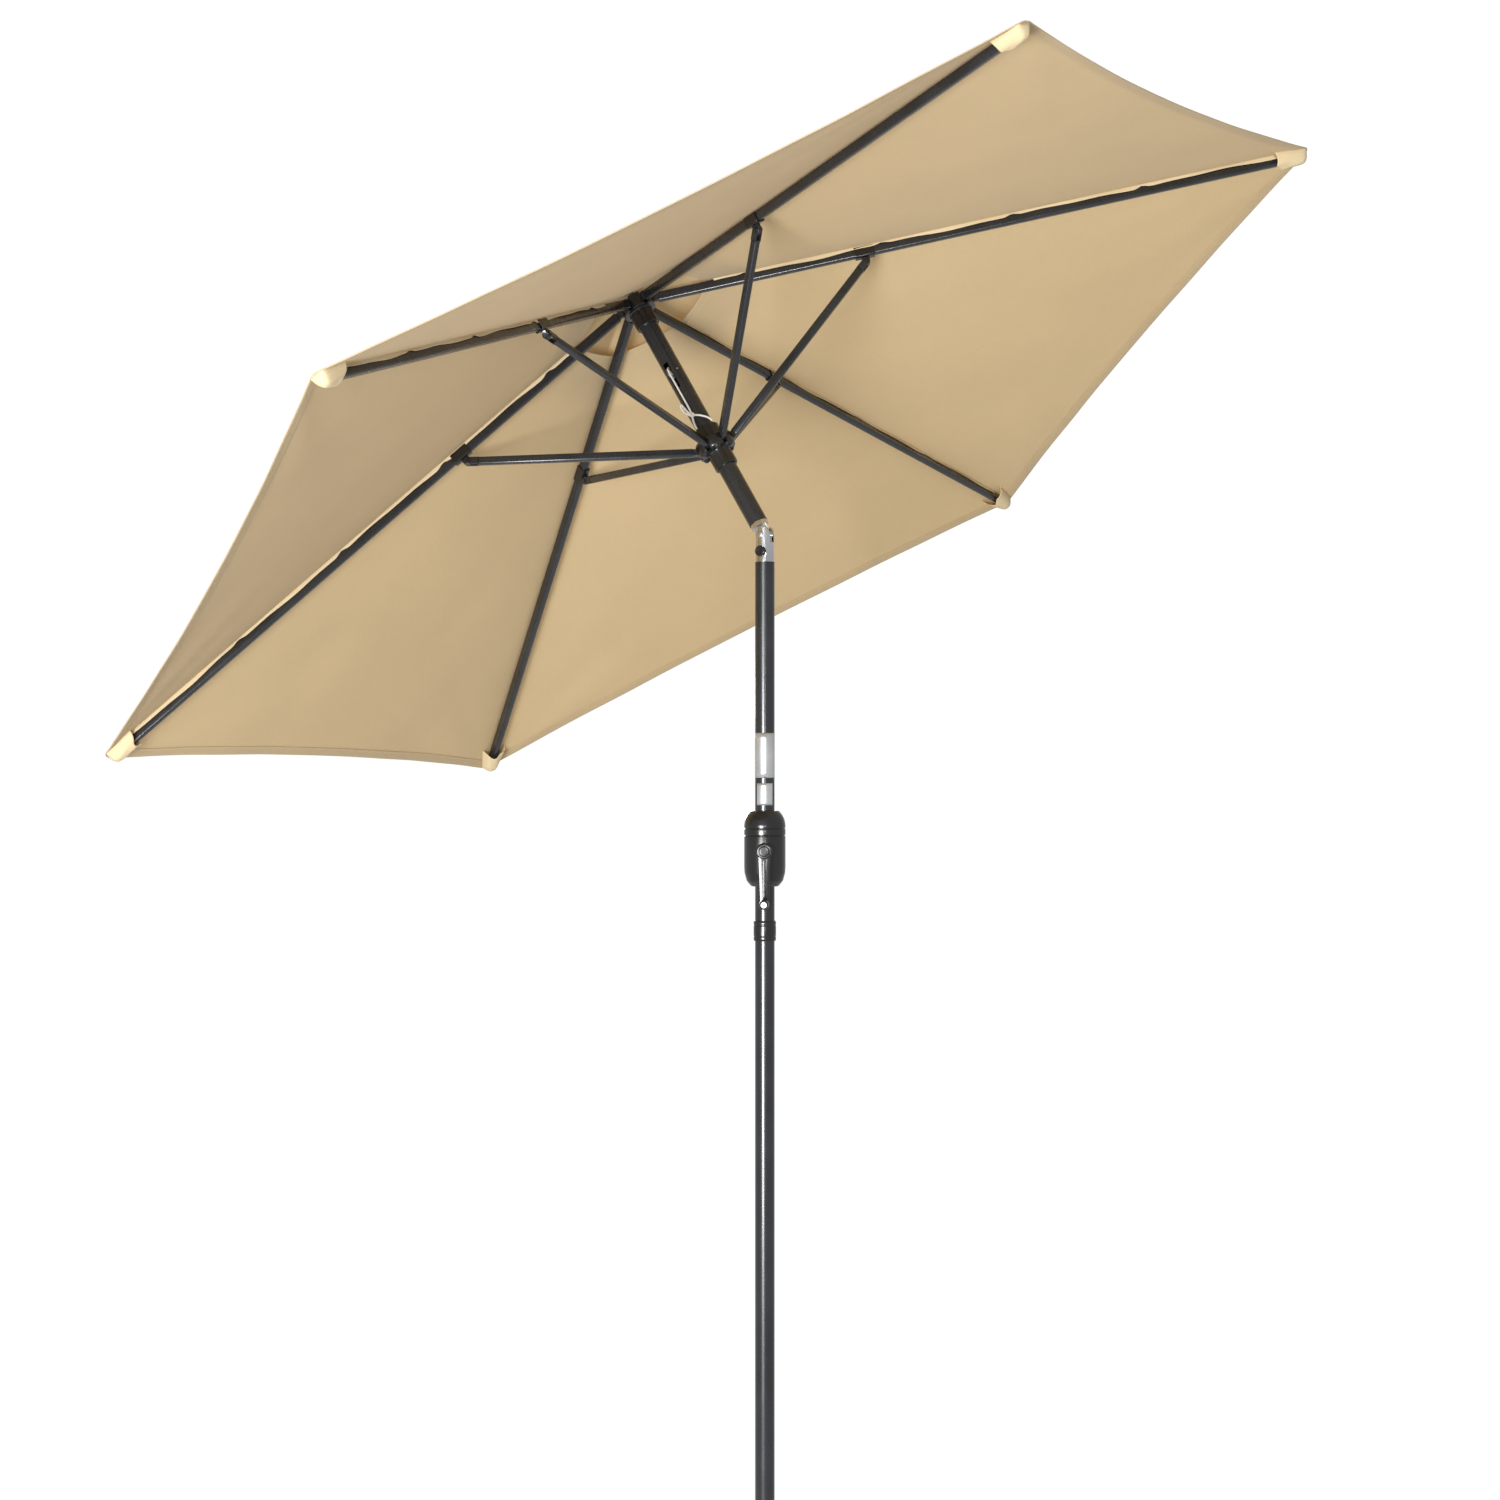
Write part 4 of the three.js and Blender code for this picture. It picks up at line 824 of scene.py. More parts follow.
@dataclass
class Crank:
    """The crank's housing, handle and grip, in axes on the crank with x out of its front."""

    bottom: float = -59
    top: float = 66
    radius: float = 34.6
    reach: float = 87
    axes: Axes = field(default_factory=lambda: joint_axes("crank_turn", np.eye(3)).about_z(-60))

    def shell_profile(self) -> np.ndarray:
        """The barrel's outline: rounded ends, a straight middle, and two grooves near its top."""
        r, lo, hi = self.radius, self.bottom, self.top
        return rounded_path(
            [[17.5, lo], [23, lo], [30.5, lo + 9], [34, lo + 22], [r, lo + 32], [r, 24], [r - 1.3, 24.6],
            [r - 1.3, 26.4],
             [r, 27], [r, 36], [r - 1.3, 36.6], [r - 1.3, 38.4], [r, 39], [r, 43], [33, 52], [29, 60], [24, hi],
             [17.5, hi]],
            2.2,
            5,
        )

    def build(self) -> None:
        """Makes the two shells, the boss, the handle, its cap and the grip."""
        profile = self.shell_profile()
        for side, node, middle in (("front", "housing_front", 0), ("rear", "housing_rear", 180)):
            turn = np.radians(middle + np.linspace(-89.6, 89.6, 61))
            r, z = profile[:, :1] - 0.8, profile[:, 1:]
            grid = np.stack([r * np.cos(turn), r * np.sin(turn), z + 0 * turn], -1)
            form = Form().skin(self.axes.place(grid)[:, ::-1])
            add_piece(f"crank_shell_{side}", form, Slot.PLASTIC, "stand", (node,), wall=0.0016)
        boss = rounded_path([[4.6, 26], [14, 26], [14, 36.5], [12.8, 38], [4.6, 38]], 1)
        add_piece("crank_boss", Form().lathe(self.axes.spun_on_x(), boss, 48, True), Slot.PLASTIC, "stand")
        add_piece("crank_arm", self.arm(), Slot.PLASTIC, "crank", ("crank_handle",))
        cap = rounded_path([[0.4, 50.1], [9, 50.1], [9, 51.4], [7.6, 52.2], [4, 52.3], [0.4, 52.3]], 0.6)
        add_piece("crank_cap_disc", Form().lathe(self.axes.spun_on_x(), cap, 40), Slot.PLASTIC, "crank", ("crank_cap",))
        add_piece("hand_grip", self.grip(), Slot.PLASTIC, "grip", ("crank_grip",))

    def arm(self) -> Form:
        """The tapered arm, its hub, and a raised rib: an arc of each end joined by straight sides."""
        turn = np.linspace(0, np.pi, 17)
        top = np.stack([11 * np.cos(turn), 11 * np.sin(turn)], 1)
        foot = np.stack([-7.5 * np.cos(turn), -self.reach - 7.5 * np.sin(turn)], 1)
        outline = np.vstack([top, foot])
        side = Axes(self.axes.origin, self.axes.rows[[1, 2, 0]])
        hub = rounded_path([[4.6, 38.3], [12, 38.3], [13, 39.5], [13, 48.4], [11.8, 49.8], [4.6, 49.8]], 1)
        ridge = np.array([[-2.2, -16], [2.2, -16], [1.5, -self.reach + 12], [-1.5, -self.reach + 12]])
        return Form().plate(
            side, outline, 40.3, 47.0, 1.4
        ).lathe(side, hub, 48, True).plate(side, ridge, 46.5, 48.2, 0.5)

    def grip(self) -> Form:
        """The grip: a swelling profile with five shallow rings cut in it."""
        x = np.linspace(0, 45, 91)
        swell = 7.2 + 1.3 * np.sin(np.pi * np.clip(x / 45, 0, 1)) ** 0.6
        rings = 0.55 * np.exp(-(((x[:, None] - np.array([9, 16, 23, 30, 37])) / 0.9) ** 2)).sum(1)
        ends = np.clip(np.minimum(x, 45 - x) / 2, 0, 1)
        r = 3.4 + (swell - rings - 3.4) * np.sqrt(1 - (1 - ends) ** 2)
        outline = np.vstack([np.stack([r, 47.9 + x], 1), [[3.4, 92.9], [3.4, 47.9]]])
        return Form().lathe(self.axes.spun_on_x().moved(y=-self.reach), outline[:-1], 40, True)


@dataclass
class TiltJoint:
    """The two chromed castings of the tilt joint, its pin and its push button."""

    button_drop: float = 28
    button_radius: float = 9

    def build(self) -> None:
        """Eases the castings and makes the pin's domed heads and the dished button."""
        refined("tilt_socket", "lower_casting", Slot.CHROME, "stand", 0.0008)
        refined("tilt_knuckle", "upper_casting", Slot.CHROME, "upper", 0.0008)
        r, face = self.button_radius, 18.6
        button = rounded_path(
            [[0.4, 7.5], [r - 0.4, 7.5], [r - 0.4, 16], [r, 16.2], [r, 17.6], [r - 1.2, face], [r - 3, face - 0.5],
            [0.4, face - 1.1]], 0.6
        )
        button[:, 1] *= -1
        axes = TILT.moved(z=-self.button_drop).spun_on_y()
        add_piece("push_button", Form().lathe(axes, button, 48), Slot.PLASTIC, "tilt_button", ("tilt_button",))
        head = rounded_path([[0.4, 15.6], [5.5, 15.6], [5.5, 16.4], [4.2, 17.4], [2, 17.6], [0.4, 17.6]], 0.5)
        form = Form().lathe(TILT.spun_on_y(), head, 32)
        far = head * np.array([1, -1])
        form.lathe(TILT.spun_on_y(), far, 32)
        form.lathe(TILT.spun_on_y(), np.array([[4.0, -15.7], [4.0, 15.7]]), 32)
        add_piece("tilt_rivet", form, Slot.STEEL, "stand", ("tilt_pin",))


@dataclass
class Hub:
    """A slotted hub: the crown or the runner."""

    bore: float
    slot_width: float

    def outline(self, radius: float, inner: float, steps: int = 12) -> np.ndarray:
        """The hub's plan at one height.

        For each of six sectors: out along one slot's wall, round the rim from that wall to the next
        slot's, and in again. The slot's walls are parallel, so they meet the rim at
        sqrt(radius^2 - (width/2)^2).

        Args:
            radius: Of the rim.
            inner: How far in the slots reach, or the radius for no slots.
            steps: Points on each arc.

        Returns:
            The closed plan.
        """
        half = self.slot_width / 2
        start = math.asin(min(0.9, half / radius))
        turn = np.linspace(start, np.pi / 3 - start, steps)
        soft = 1 - 0.035 * (1 - np.sin(np.linspace(0, np.pi, steps))) ** 2
        arc = np.stack([radius * soft * np.cos(turn), radius * soft * np.sin(turn)], 1)
        depth = min(inner, math.sqrt(radius**2 - half**2))
        far = np.array([[math.cos(np.pi / 3), -math.sin(np.pi / 3)], [math.sin(np.pi / 3), math.cos(np.pi / 3)]])
        sector = np.vstack([[[depth, half]], arc, [far @ np.array([depth, -half])]])
        spin = np.arange(6) * np.pi / 3
        c, s = np.cos(spin), np.sin(spin)
        turned = np.stack([np.stack([c, -s], 1), np.stack([s, c], 1)], 1)
        return np.einsum("kij,nj->kni", turned, sector).reshape(-1, 2)

    def skin(self, axes: Axes, levels: list) -> Form:
        """The hub as plans stacked up its outside and a round bore down its inside.

        Args:
            axes: The hub's axes, with a rib over x.
            levels: Height, radius and slot depth at each level.

        Returns:
            The form.
        """
        rings = [
            np.column_stack([plan, np.full(len(plan), z)]) for z, r,
            inner in levels for plan in [self.outline(r, inner)]
        ]
        angles = np.arctan2(rings[0][:, 1], rings[0][:, 0])
        for z in (levels[-1][0], levels[0][0]):
            rings.append(np.stack([self.bore * np.cos(angles), self.bore * np.sin(angles), np.full(len(angles), z)], 1))
        return Form().skin(axes.place(np.array(rings)), around=True, along=True)


@dataclass
class RibArms:
    """The crown, runner, six ribs with brackets, and six struts."""

    crown_height: float = 474
    azimuth: float = 32.4
    pin_radius: float = 24
    runner_pin: float = 27
    runner_drop: float = 293
    slope: float = math.degrees(math.atan2(307, 1143 - 24))
    rib_length: float = (1143 - 20 - 24) / math.cos(math.atan2(307, 1143 - 24))
    station: float = 376
    offset: float = 18.5

    def crown(self) -> Axes:
        """Axes on the crown's pins with the first rib over x."""
        return UPPER.moved(z=self.crown_height).about_z(self.azimuth)

    def rib(self, number: int) -> Axes:
        """Axes on one rib's pin, with x out along the rib."""
        return self.crown().about_z(60 * (number - 1)).moved(x=self.pin_radius).about_y(self.slope)

    def build(self) -> None:
        """Makes the hubs, then each rib and strut."""
        crown = self.crown()
        top = Hub(bore=16.6, slot_width=8.7)
        levels = [
            (-45, 19.6, 30), (-44, 20.5, 30), (-16, 20.5, 30), (-14.6, 22, 30), (-14, 28.6, 30), (-14, 28.6, 17.4),
            (-12.6, 30, 17.4),
                  (0, 30.0, 17.4), (8, 30, 17.4), (10.5, 29.2, 17.4), (11.7, 27.5, 17.4), (12, 25.5, 17.4)]
        add_piece("canopy_crown", top.skin(crown, levels), Slot.PLASTIC, "upper", ("crown",), bevel=0.0003)
        self.finial(crown)
        self.runner(crown.moved(z=-self.runner_drop))
        for number in range(1, 7):
            self.arm(number)

    def finial(self, crown: Axes) -> None:
        """The turned finial over the crown."""
        s = 24.3
        profile = rounded_path(
            [[0.4, 2], [4.5, 2], [4.5, s], [15, s], [15, s + 2.6], [11, s + 5], [7, s + 7.5], [6, s + 12],
            [7.5, s + 16], [11, s + 18.5],
             [13.6, s + 23], [14, s + 28], [12.6, s + 34.5], [9.4, s + 39], [5, s + 41.4], [0.4, s + 42]],
            2.4,
            5,
        )
        add_piece("turned_finial", Form().lathe(crown, profile, 56), Slot.PLASTIC, "upper", ("finial",))

    def runner(self, axes: Axes) -> None:
        """The runner: a slotted hub between a lower skirt and an upper collar, with a ball on each lobe."""
        hub = Hub(bore=17.2, slot_width=9.2)
        levels = [
            (-43, 19.2, 40), (-42, 20.3, 40), (-40, 20.5, 40), (-18, 20.6, 40), (-14, 21.8, 40), (-12.4, 26, 40),
            (-12, 31, 40), (-12, 31, 20),
                  (-10.5, 33.2, 20), (-8, 34, 20), (8, 34, 20), (10.5, 33.2, 20), (12, 31, 20), (12, 31, 40),
                  (12.6, 26, 40), (14, 22.8, 40),
                  (17, 22, 40), (33, 22, 40), (34.4, 21.5, 40), (35, 20.4, 40)]
        form = hub.skin(axes, levels)
        for k in range(6):
            lobe = axes.about_z(30 + 60 * k).moved(x=26.6)
            turn = np.linspace(0.06, np.pi - 0.06, 15)
            ball = np.stack([7.6 * np.sin(turn), -3 - 13.6 * np.cos(turn)], 1)
            form.lathe(lobe, ball, 20)
        add_piece("lift_runner", form, Slot.PLASTIC, "runner", ("runner",), sharp=40)

    def arm(self, number: int) -> None:
        """One rib with its end cap, the bracket's eased copy, and one strut.

        Args:
            number: Which rib, from 1.
        """
        rib = self.rib(number)
        section = rounded_box_section(12, 17, 3.4)
        length = self.rib_length
        form = Form().extrude(rib, section, [15.6, 16.4, length - 0.6, length], [0.93, 1, 1, 0.94])
        form.plate(rib.spun_on_y(), self.eye(6, 30, 6.2), -4, 4, 0.6)
        cap = rounded_box_section(12.7, 17.7, 3.6)
        form.extrude(rib, cap, [length - 14, length - 13.2, length + 0.6, length + 1.8], [0.97, 1, 1, 0.86])
        add_piece(f"rib_tube_{number}", form, Slot.FRAME_PAINT, f"rib_arm_{number}", (f"rib_{number}",))
        refined(f"rib_bracket_{number}", f"strut_saddle_{number}", Slot.PLASTIC, f"rib_arm_{number}", 0.0007)

        slope = math.radians(self.slope)
        dx, dz = self.runner_pin - self.pin_radius, -self.runner_drop
        target = np.array([math.cos(slope) * dx - math.sin(slope) * dz, math.sin(slope) * dx + math.cos(slope) * dz])
        run = target - np.array([self.station, -self.offset])
        reach = float(np.hypot(*run))
        strut = rib.moved(x=self.station, z=-self.offset).about_y(math.degrees(math.atan2(-run[1], run[0])))
        tube = rounded_box_section(11, 14, 3.2)
        body = Form().extrude(strut, tube, [17, 17.8, reach - 14, reach - 13], [0.95, 1, 1, 0.9])
        for side in (-1, 1):
            cheek = strut.spun_on_y()
            low, high = sorted((side * 4.15, side * 5.5))
            body.plate(cheek, self.eye(6.5, 20, 6.6), low, high, 0.3)
        body.plate(strut.moved(x=reach).spun_on_y(), self.eye(6.4, -26, 5.8), -4, 4, 0.6)
        add_piece(f"strut_tube_{number}", body, Slot.FRAME_PAINT, f"strut_arm_{number}", (f"strut_{number}",))

    def eye(self, radius: float, reach: float, half: float) -> np.ndarray:
        """An eye's outline in (z, x): half a circle round the pin, and two straight sides to reach.

        Args:
            radius: Round the pin.
            reach: Where the sides end, along x.
            half: Half of the blade's height at that end.

        Returns:
            The closed outline.
        """
        sign = 1 if reach > 0 else -1
        turn = np.linspace(-np.pi / 2, np.pi / 2, 15)
        round_end = np.stack([radius * np.sin(turn), -sign * radius * np.cos(turn)], 1)
        return np.vstack([round_end, [[half, reach], [-half, reach]]])


@dataclass
class Cloth:
    """The vented canopy: for each rib one gore from mid-panel to mid-panel, its corner pocket and cap gore."""

    arms: RibArms
    tip: float = 1147
    vent: float = 130
    lift: float = 11.2
    hem_sag: float = 27
    sag: float = 10
    hem: float = 20
    blunt: float = 6.4
    cap_corner: float = 230
    cap_rise: float = 25
    cap_hole: float = 7
    cap_flat: float = 34
    near_rib: tuple = (0, 2.5, 5.2, 6.2, 9, 14)
    pocket_length: float = 62
    pocket_half: float = 25
    flap_width: float = 9
    flap_side: float = 7.2
    columns: int = 26

    def across(self, rho: np.ndarray) -> np.ndarray:
        """Distances from the rib at each radius: a few fixed ones, then even steps to mid-panel.

        Args:
            rho: Radii of the rows.

        Returns:
            Signed shares of half a panel's width, from -1 to 1, shape (rows, columns).
        """
        half = rho[:, None] * 0.5
        fixed = np.minimum(np.array(self.near_rib)[None], half * np.linspace(0, 0.5, len(self.near_rib))[None])
        share = np.linspace(0, 1, self.columns)[1:][None]
        distance = np.concatenate([fixed, fixed[:, -1:] + share * (half - fixed[:, -1:])], 1)
        s = distance / half
        return np.concatenate([-s[:, :0:-1], s], 1)

    def gore(
        self, rho: np.ndarray, drop: np.ndarray, edge: np.ndarray, sagging: float, lift: float, crease: float
    ) -> tuple:
        """One gore's points in the crown's axes with its rib over x.

        With a = 1 - |s|, a point of a panel is out along its middle by rho cos 30 less the hem's
        curve times (1 - a^2) t^2, and across it by a rho sin 30. Its height falls with the slope of
        the ribs, and hangs by the sag times (1 - a^2). Creases run in from the corner and fade with
        distance, on the rib and at mid-panel.

        Args:
            rho: Radius of each row.
            drop: How far under the cloth each row is folded.
            edge: Distance of each row from its sewn edge.
            sagging: How far mid-panel hangs.
            lift: Height over the rib's centre line.
            crease: Height of the corner creases.

        Returns:
            The points, flat coordinates in metres and edge distances in metres.
        """
        s = self.across(rho)
        a = 1 - np.abs(s)
        c30, s30 = math.cos(math.pi / 6), 0.5
        t = ((rho - rho.min()) / (rho.max() - rho.min()))[:, None]
        shape = (1 - a**2) * t**2
        rim = rho.max()
        mid = rho[:, None] * c30 - (self.hem_sag * rim / self.tip) * shape
        side = a * rho[:, None] * s30
        x = mid * c30 + side * s30
        y = np.sign(s) * np.abs(mid * s30 - side * c30)
        cut = rim - (self.blunt if rim > self.tip - 1 else 0)
        x = np.where(x > cut, cut + 0.08 * (x - rim), x)
        slope = math.tan(math.radians(self.arms.slope))
        height = lift + (
            self.arms.pin_radius - mid / c30
        ) * slope - sagging * (1 - a**2) * np.sin(np.pi * (0.15 + 0.55 * t))
        window = np.sin(np.pi * np.abs(s)) ** 2
        to_tip = np.hypot(rim - x, y)
        fan = np.arctan2(np.abs(y), rim + 20 - x)
        height = height + crease * window * np.exp(-to_tip / 230) * np.sin(17 * fan + 0.6 * np.sign(s))
        height = height + 0.8 * window * np.sin(x / 61 + 1.3 * np.sign(s)) * np.sin(np.abs(y) / 47)
        seam = 0.45 * np.clip((6.0 - np.abs(y)) / 0.8, 0, 1)
        height = height + seam - drop[:, None]
        flat = np.stack([y, x], -1) * MM
        mark = np.broadcast_to(edge[:, None], s.shape) * MM
        mark = np.where(np.abs(np.abs(y) * MM - 0.0045) < 0.0009, 0.0035 + 0 * mark, mark)
        return np.stack([x, y, height], -1), flat, mark

    def rows(self, inner: float, outer: float, fold: float, count: int) -> tuple:
        """Radii, drops and edge distances of a gore's rows, with both edges turned under.

        The turn is half a circle of 0.9 mm, then a flat strip of the fold's width.

        Args:
            inner: The inner edge.
            outer: The outer edge.
            fold: Width turned under.
            count: Rows between the edges.

        Returns:
            Three arrays.
        """
        r = 0.75
        turn = np.linspace(0, np.pi, 5)[1:]
        out_fold = (outer + r * np.sin(turn), r * (1 - np.cos(turn)))
        strip = np.linspace(0, fold, 5)[1:]
        ease = np.concatenate([np.linspace(0, 0.96, count), 1 - 0.04 * np.linspace(1, 0, 8)[1:] ** 1.3])
        top = inner + (outer - inner) * ease
        rho = np.concatenate([top, out_fold[0], outer - strip])
        drop = np.concatenate([0 * top, out_fold[1], 2 * r + 0 * strip])
        edge = np.concatenate([np.minimum(outer - top, top - inner + 2), 0 * turn, strip])
        return rho, drop, edge

    @staticmethod
    def area(points: np.ndarray) -> float:
        """A grid's area in square metres: half the cross product of each face's diagonals."""
        first, second = points[1:, 1:] - points[:-1, :-1], points[1:, :-1] - points[:-1, 1:]
        return float(np.linalg.norm(np.cross(first, second), axis=-1).sum() / 2)

    def build(self) -> None:
        """Makes the six gores with their pockets, then the six gores of the vent's cap."""
        for number in range(1, 7):
            axes = self.arms.crown().about_z(60 * (number - 1))
            sewn_on = [self.pocket(number), self.seam_flap(number)]
            points, flat, mark = self.gore(*self.rows(self.vent, self.tip, self.hem, 64), self.sag, self.lift, 3.0)
            world = axes.place(points)
            piece = add_piece(
                f"canopy_gore_{number}", Form().skin(world, cloth=flat, mark=mark), Slot.CANVAS, f"rib_arm_{number}",
                (f"canopy_panel_{number}",), wall=0.0005, sharp=60, rim=False,
            )
            self.cap_gore(number, axes)

    def pocket(self, number: int) -> bpy.types.Object:
        """The corner's pocket: a folded flap that hangs under the canopy round the rib's end.

        Its half width narrows evenly to the blunt corner, and its depth under the cloth is
        (1 - |v|^2.6)^0.8 (1 - u^9), so it has a wide flat mouth that swallows the rib and closes at
        the corner. One side of the mouth reaches further back than the other, as a fold does.

        Args:
            number: Which rib, from 1.

        Returns:
            The piece.
        """
        axes = self.arms.crown().about_z(60 * (number - 1))
        slope = math.tan(math.radians(self.arms.slope))
        u, v = np.meshgrid(np.linspace(0, 1, 22), np.linspace(-1, 1, 33), indexing="ij")
        near, far = self.tip - self.pocket_length, self.tip - self.blunt - 1.2
        mouth = 1 - u
        x = near + (far - near) * u + mouth**2 * (5 * v + 4 * np.sin(5 * v))
        half = 12 + (self.pocket_half - 12) * mouth**0.9
        top = self.lift - 0.9 + (self.arms.pin_radius - x) * slope
        depth = 1.0 + 24.0 * (1 - np.abs(v) ** 2.6) ** 0.8 * (1 - u**9)
        depth = depth + 0.9 * mouth * (1 - v**2) * np.sin(9 * v + 5 * u) + 0.7 * np.sin(
            14 * u + 2 * v
        ) * (1 - v**2) * u * mouth
        points = axes.place(np.stack([x, half * v, top - depth], -1))
        flat = np.stack([half * v, x], -1) * MM
        mark = np.minimum(self.pocket_length * u, half * (1 - np.abs(v))) * MM + 0.0004
        # The pocket wears the lighter copy of the canvas, which is painted light
        return add_piece(
            f"corner_pocket_{number}", Form().skin(points, cloth=flat, mark=mark), Slot.CANVAS, f"rib_arm_{number}",
            finish=FOLD_CLOTH_PAINTED_LIGHT, wall=0.0007, sharp=60,
        )

    def seam_flap(self, number: int) -> bpy.types.Object:
        """The seam's turned edge, a narrow strip that hangs beside the rib and waves a little.

        At each place along the rib the strip starts under the cloth and hangs by a depth of its
        width times (0.75 + 0.25 sin), tucked in at the ties.

        Args:
            number: Which rib, from 1.

        Returns:
            The piece.
        """
        axes = self.arms.crown().about_z(60 * (number - 1))
        slope = math.tan(math.radians(self.arms.slope))
        x, v = np.meshgrid(
            np.linspace(self.vent + 6, self.tip - self.pocket_length + 4, 150), np.linspace(0, 1, 6), indexing="ij"
        )
        ties = sum(np.exp(-(((x - place) / 9) ** 2)) for place in (190, 420, 640, 860))
        wave = 0.78 + 0.14 * np.sin(x / 43 + number) + 0.08 * np.sin(x / 17 + 2 * number)
        hang = self.flap_width * wave * (1 - 0.55 * np.clip(ties, 0, 1)) * v
        side = -1 if number <= 3 else 1
        y = side * (self.flap_side + 0.9 * v * np.sin(x / 31 + number) + 0.6 * v)
        z = self.lift - 0.7 + (self.arms.pin_radius - x) * slope - hang
        points = axes.place(np.stack([x, y, z], -1))
        flat = np.stack([x, hang], -1) * MM
        mark = np.minimum(hang + 0.5, self.flap_width - hang + 1) * MM
        # The flap wears the lighter copy of the canvas, which is painted light
        return add_piece(
            f"seam_flap_{number}", Form().skin(points, cloth=flat, mark=mark), Slot.CANVAS, f"rib_arm_{number}",
            finish=FOLD_CLOTH_PAINTED_LIGHT, wall=0.0005, sharp=60,
        )

    def cap_gore(self, number: int, axes: Axes) -> None:
        """One gore of the vent's cap, which bends from the crown to its rib.

        Args:
            number: Which rib, from 1.
            axes: The crown's axes with that rib over x.
        """
        rho, drop, edge = self.rows(self.cap_hole, self.cap_corner, 12, 30)
        points, flat, mark = self.gore(rho, drop, edge, 4, 0, 0.0)
        crown_z = 22.6
        slope = math.tan(math.radians(self.arms.slope))
        rim = self.lift + (self.arms.pin_radius - self.cap_corner) * slope + self.cap_rise - 1.5
        own = (self.arms.pin_radius - self.cap_corner) * slope
        flat_top = np.maximum(self.cap_flat - rho, 0)[:, None] * slope
        start = (self.arms.pin_radius - self.cap_flat) * slope
        t = np.clip((rho - self.cap_flat) / (self.cap_corner - self.cap_flat), 0, 1)[:, None]
        points[..., 2] += (crown_z - start) * (1 - t) + (rim - own) * t - 0.9 * flat_top
        grid = axes.place(points)
        piece = add_piece(
            f"vent_cap_gore_{number}", Form().skin(grid, cloth=flat, mark=mark), Slot.CANVAS, None,
            ("vent_cap",) if number == 1 else (), wall=0.0005, sharp=60, rim=False,
        )
        axes.point(60, 0, 0)
        axes.point(225, 0, -40)
        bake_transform(piece)


@dataclass
class LiftCord:
    """The lift cord: inside the poles, over the pulley, and down to a knot above the runner."""

    radius: float = 1.7
    pulley: float = 332
    depth: float = 8.7
    wrap: float = 9.8
    knot_height: float = 243
    runner_top: float = 216

    def build(self) -> None:
        """Makes the run in the lower pole, the run over the pulley, the drop, and the knot with its legs."""
        r = self.radius * MM
        crank = joint_axes("crank_turn", np.eye(3)).about_z(-60)
        turn = np.pi / 2 + np.linspace(0, 4 * np.pi, 19)
        wound = np.stack([np.linspace(-6, 3.6, 19), 7.9 * np.cos(turn) * -1, 7.9 * np.sin(turn)], 1)
        lower = np.vstack([crank.place(wound), crank.place(np.array([[2, 7.9, 14.0], [-1, 7.9, 60]])),
                           GROUND.place(np.array([[8.25, 0, 1580], [8.25, 0, 1700], [11, 0, 1769], [11, 0, 1830],
                           [11, 0, 1876.0]]))])
        add_piece("cord_in_lower_pole", Form().cord(lower, r, 10, 360), Slot.CORD, "stand", ("lift_cord",))
        angle = np.linspace(0, np.pi, 9)
        over = np.stack(
            [0 * angle, -self.depth + self.wrap * np.cos(angle), self.pulley + self.wrap * np.sin(angle)], 1
        )
        inside = np.array(
            [[11, 0, 4], [11, 0, 35], [11, 0, 62.8], [9.9, 0, 82.8], [2, 1.1, self.pulley - 70],
            [0, 1.1, self.pulley - 30]]
        )
        out = -self.depth - self.wrap
        upper = UPPER.place(np.vstack([inside, over, [[0, out, self.pulley - 14]]]))
        add_piece("cord_over_pulley", Form().cord(upper, r, 12, 240), Slot.CORD, "upper")
        drop = np.array(
            [[0, out, self.pulley - 14.5], [0.1, out - 0.1, self.pulley - 40], [0.3, out - 0.3, 268],
            [0, out - 0.4, self.knot_height + 3]]
        )
        hanging = add_piece("cord_to_knot", Form().cord(UPPER.place(drop), r, 12, 60), Slot.CORD, None)
        UPPER.point(0, out, self.pulley - 16)
        UPPER.point(0, out, self.knot_height + 2)
        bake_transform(hanging)
        self.knot(out)

    def knot(self, out: float) -> None:
        """The knot: a small overhand turn, a tail loop up to the left, and two legs to the runner.

        Args:
            out: The cord's place in front of the pole.
        """
        r, w = self.radius * MM, self.knot_height
        turn = np.linspace(0, 2 * np.pi, 13)
        coil = np.stack([3.0 * np.cos(turn), out - 0.6 - 1.5 * np.cos(turn * 2 + 0.5) * 0.9, w + 2.6 * np.sin(turn)], 1)
        second = np.stack([2.0 * np.sin(turn * 1.0), out - 0.6 + 2.6 * np.cos(turn), w + 2.9 * np.sin(turn + 0.8)], 1)
        form = Form().cord(UPPER.place(coil), r, 12, 60).cord(UPPER.place(second), r, 12, 60)
        tail = np.array(
            [[-1, out - 2, w + 1], [-4, out - 3.4, w + 9], [-6.5, out - 3, w + 20], [-9, out - 1.6, w + 27],
            [-12, out - 0.6, w + 24],
                         [-11, out - 0.8, w + 14], [-6, out - 2.4, w + 5], [-2, out - 2.4, w - 1]])
        right = np.array(
            [[1, out - 1.4, w - 1], [7, out - 2.4, w - 5], [14, out - 0.2, w - 11], [19.6, -12, w - 18],
            [21.6, -7.4, self.runner_top + 1.6]]
        )
        left = np.array(
            [[-1, out - 1.4, w - 2], [-3.4, out - 2.2, w - 10], [-4.6, out - 2.6, w - 20],
            [-5, out - 1.8, self.runner_top + 1.4]]
        )
        form.cord(UPPER.place(tail), r, 12, 90).cord(UPPER.place(right), r, 12, 70).cord(UPPER.place(left), r, 12, 50)
        add_piece("cord_knot_and_legs", form, Slot.CORD, "runner")


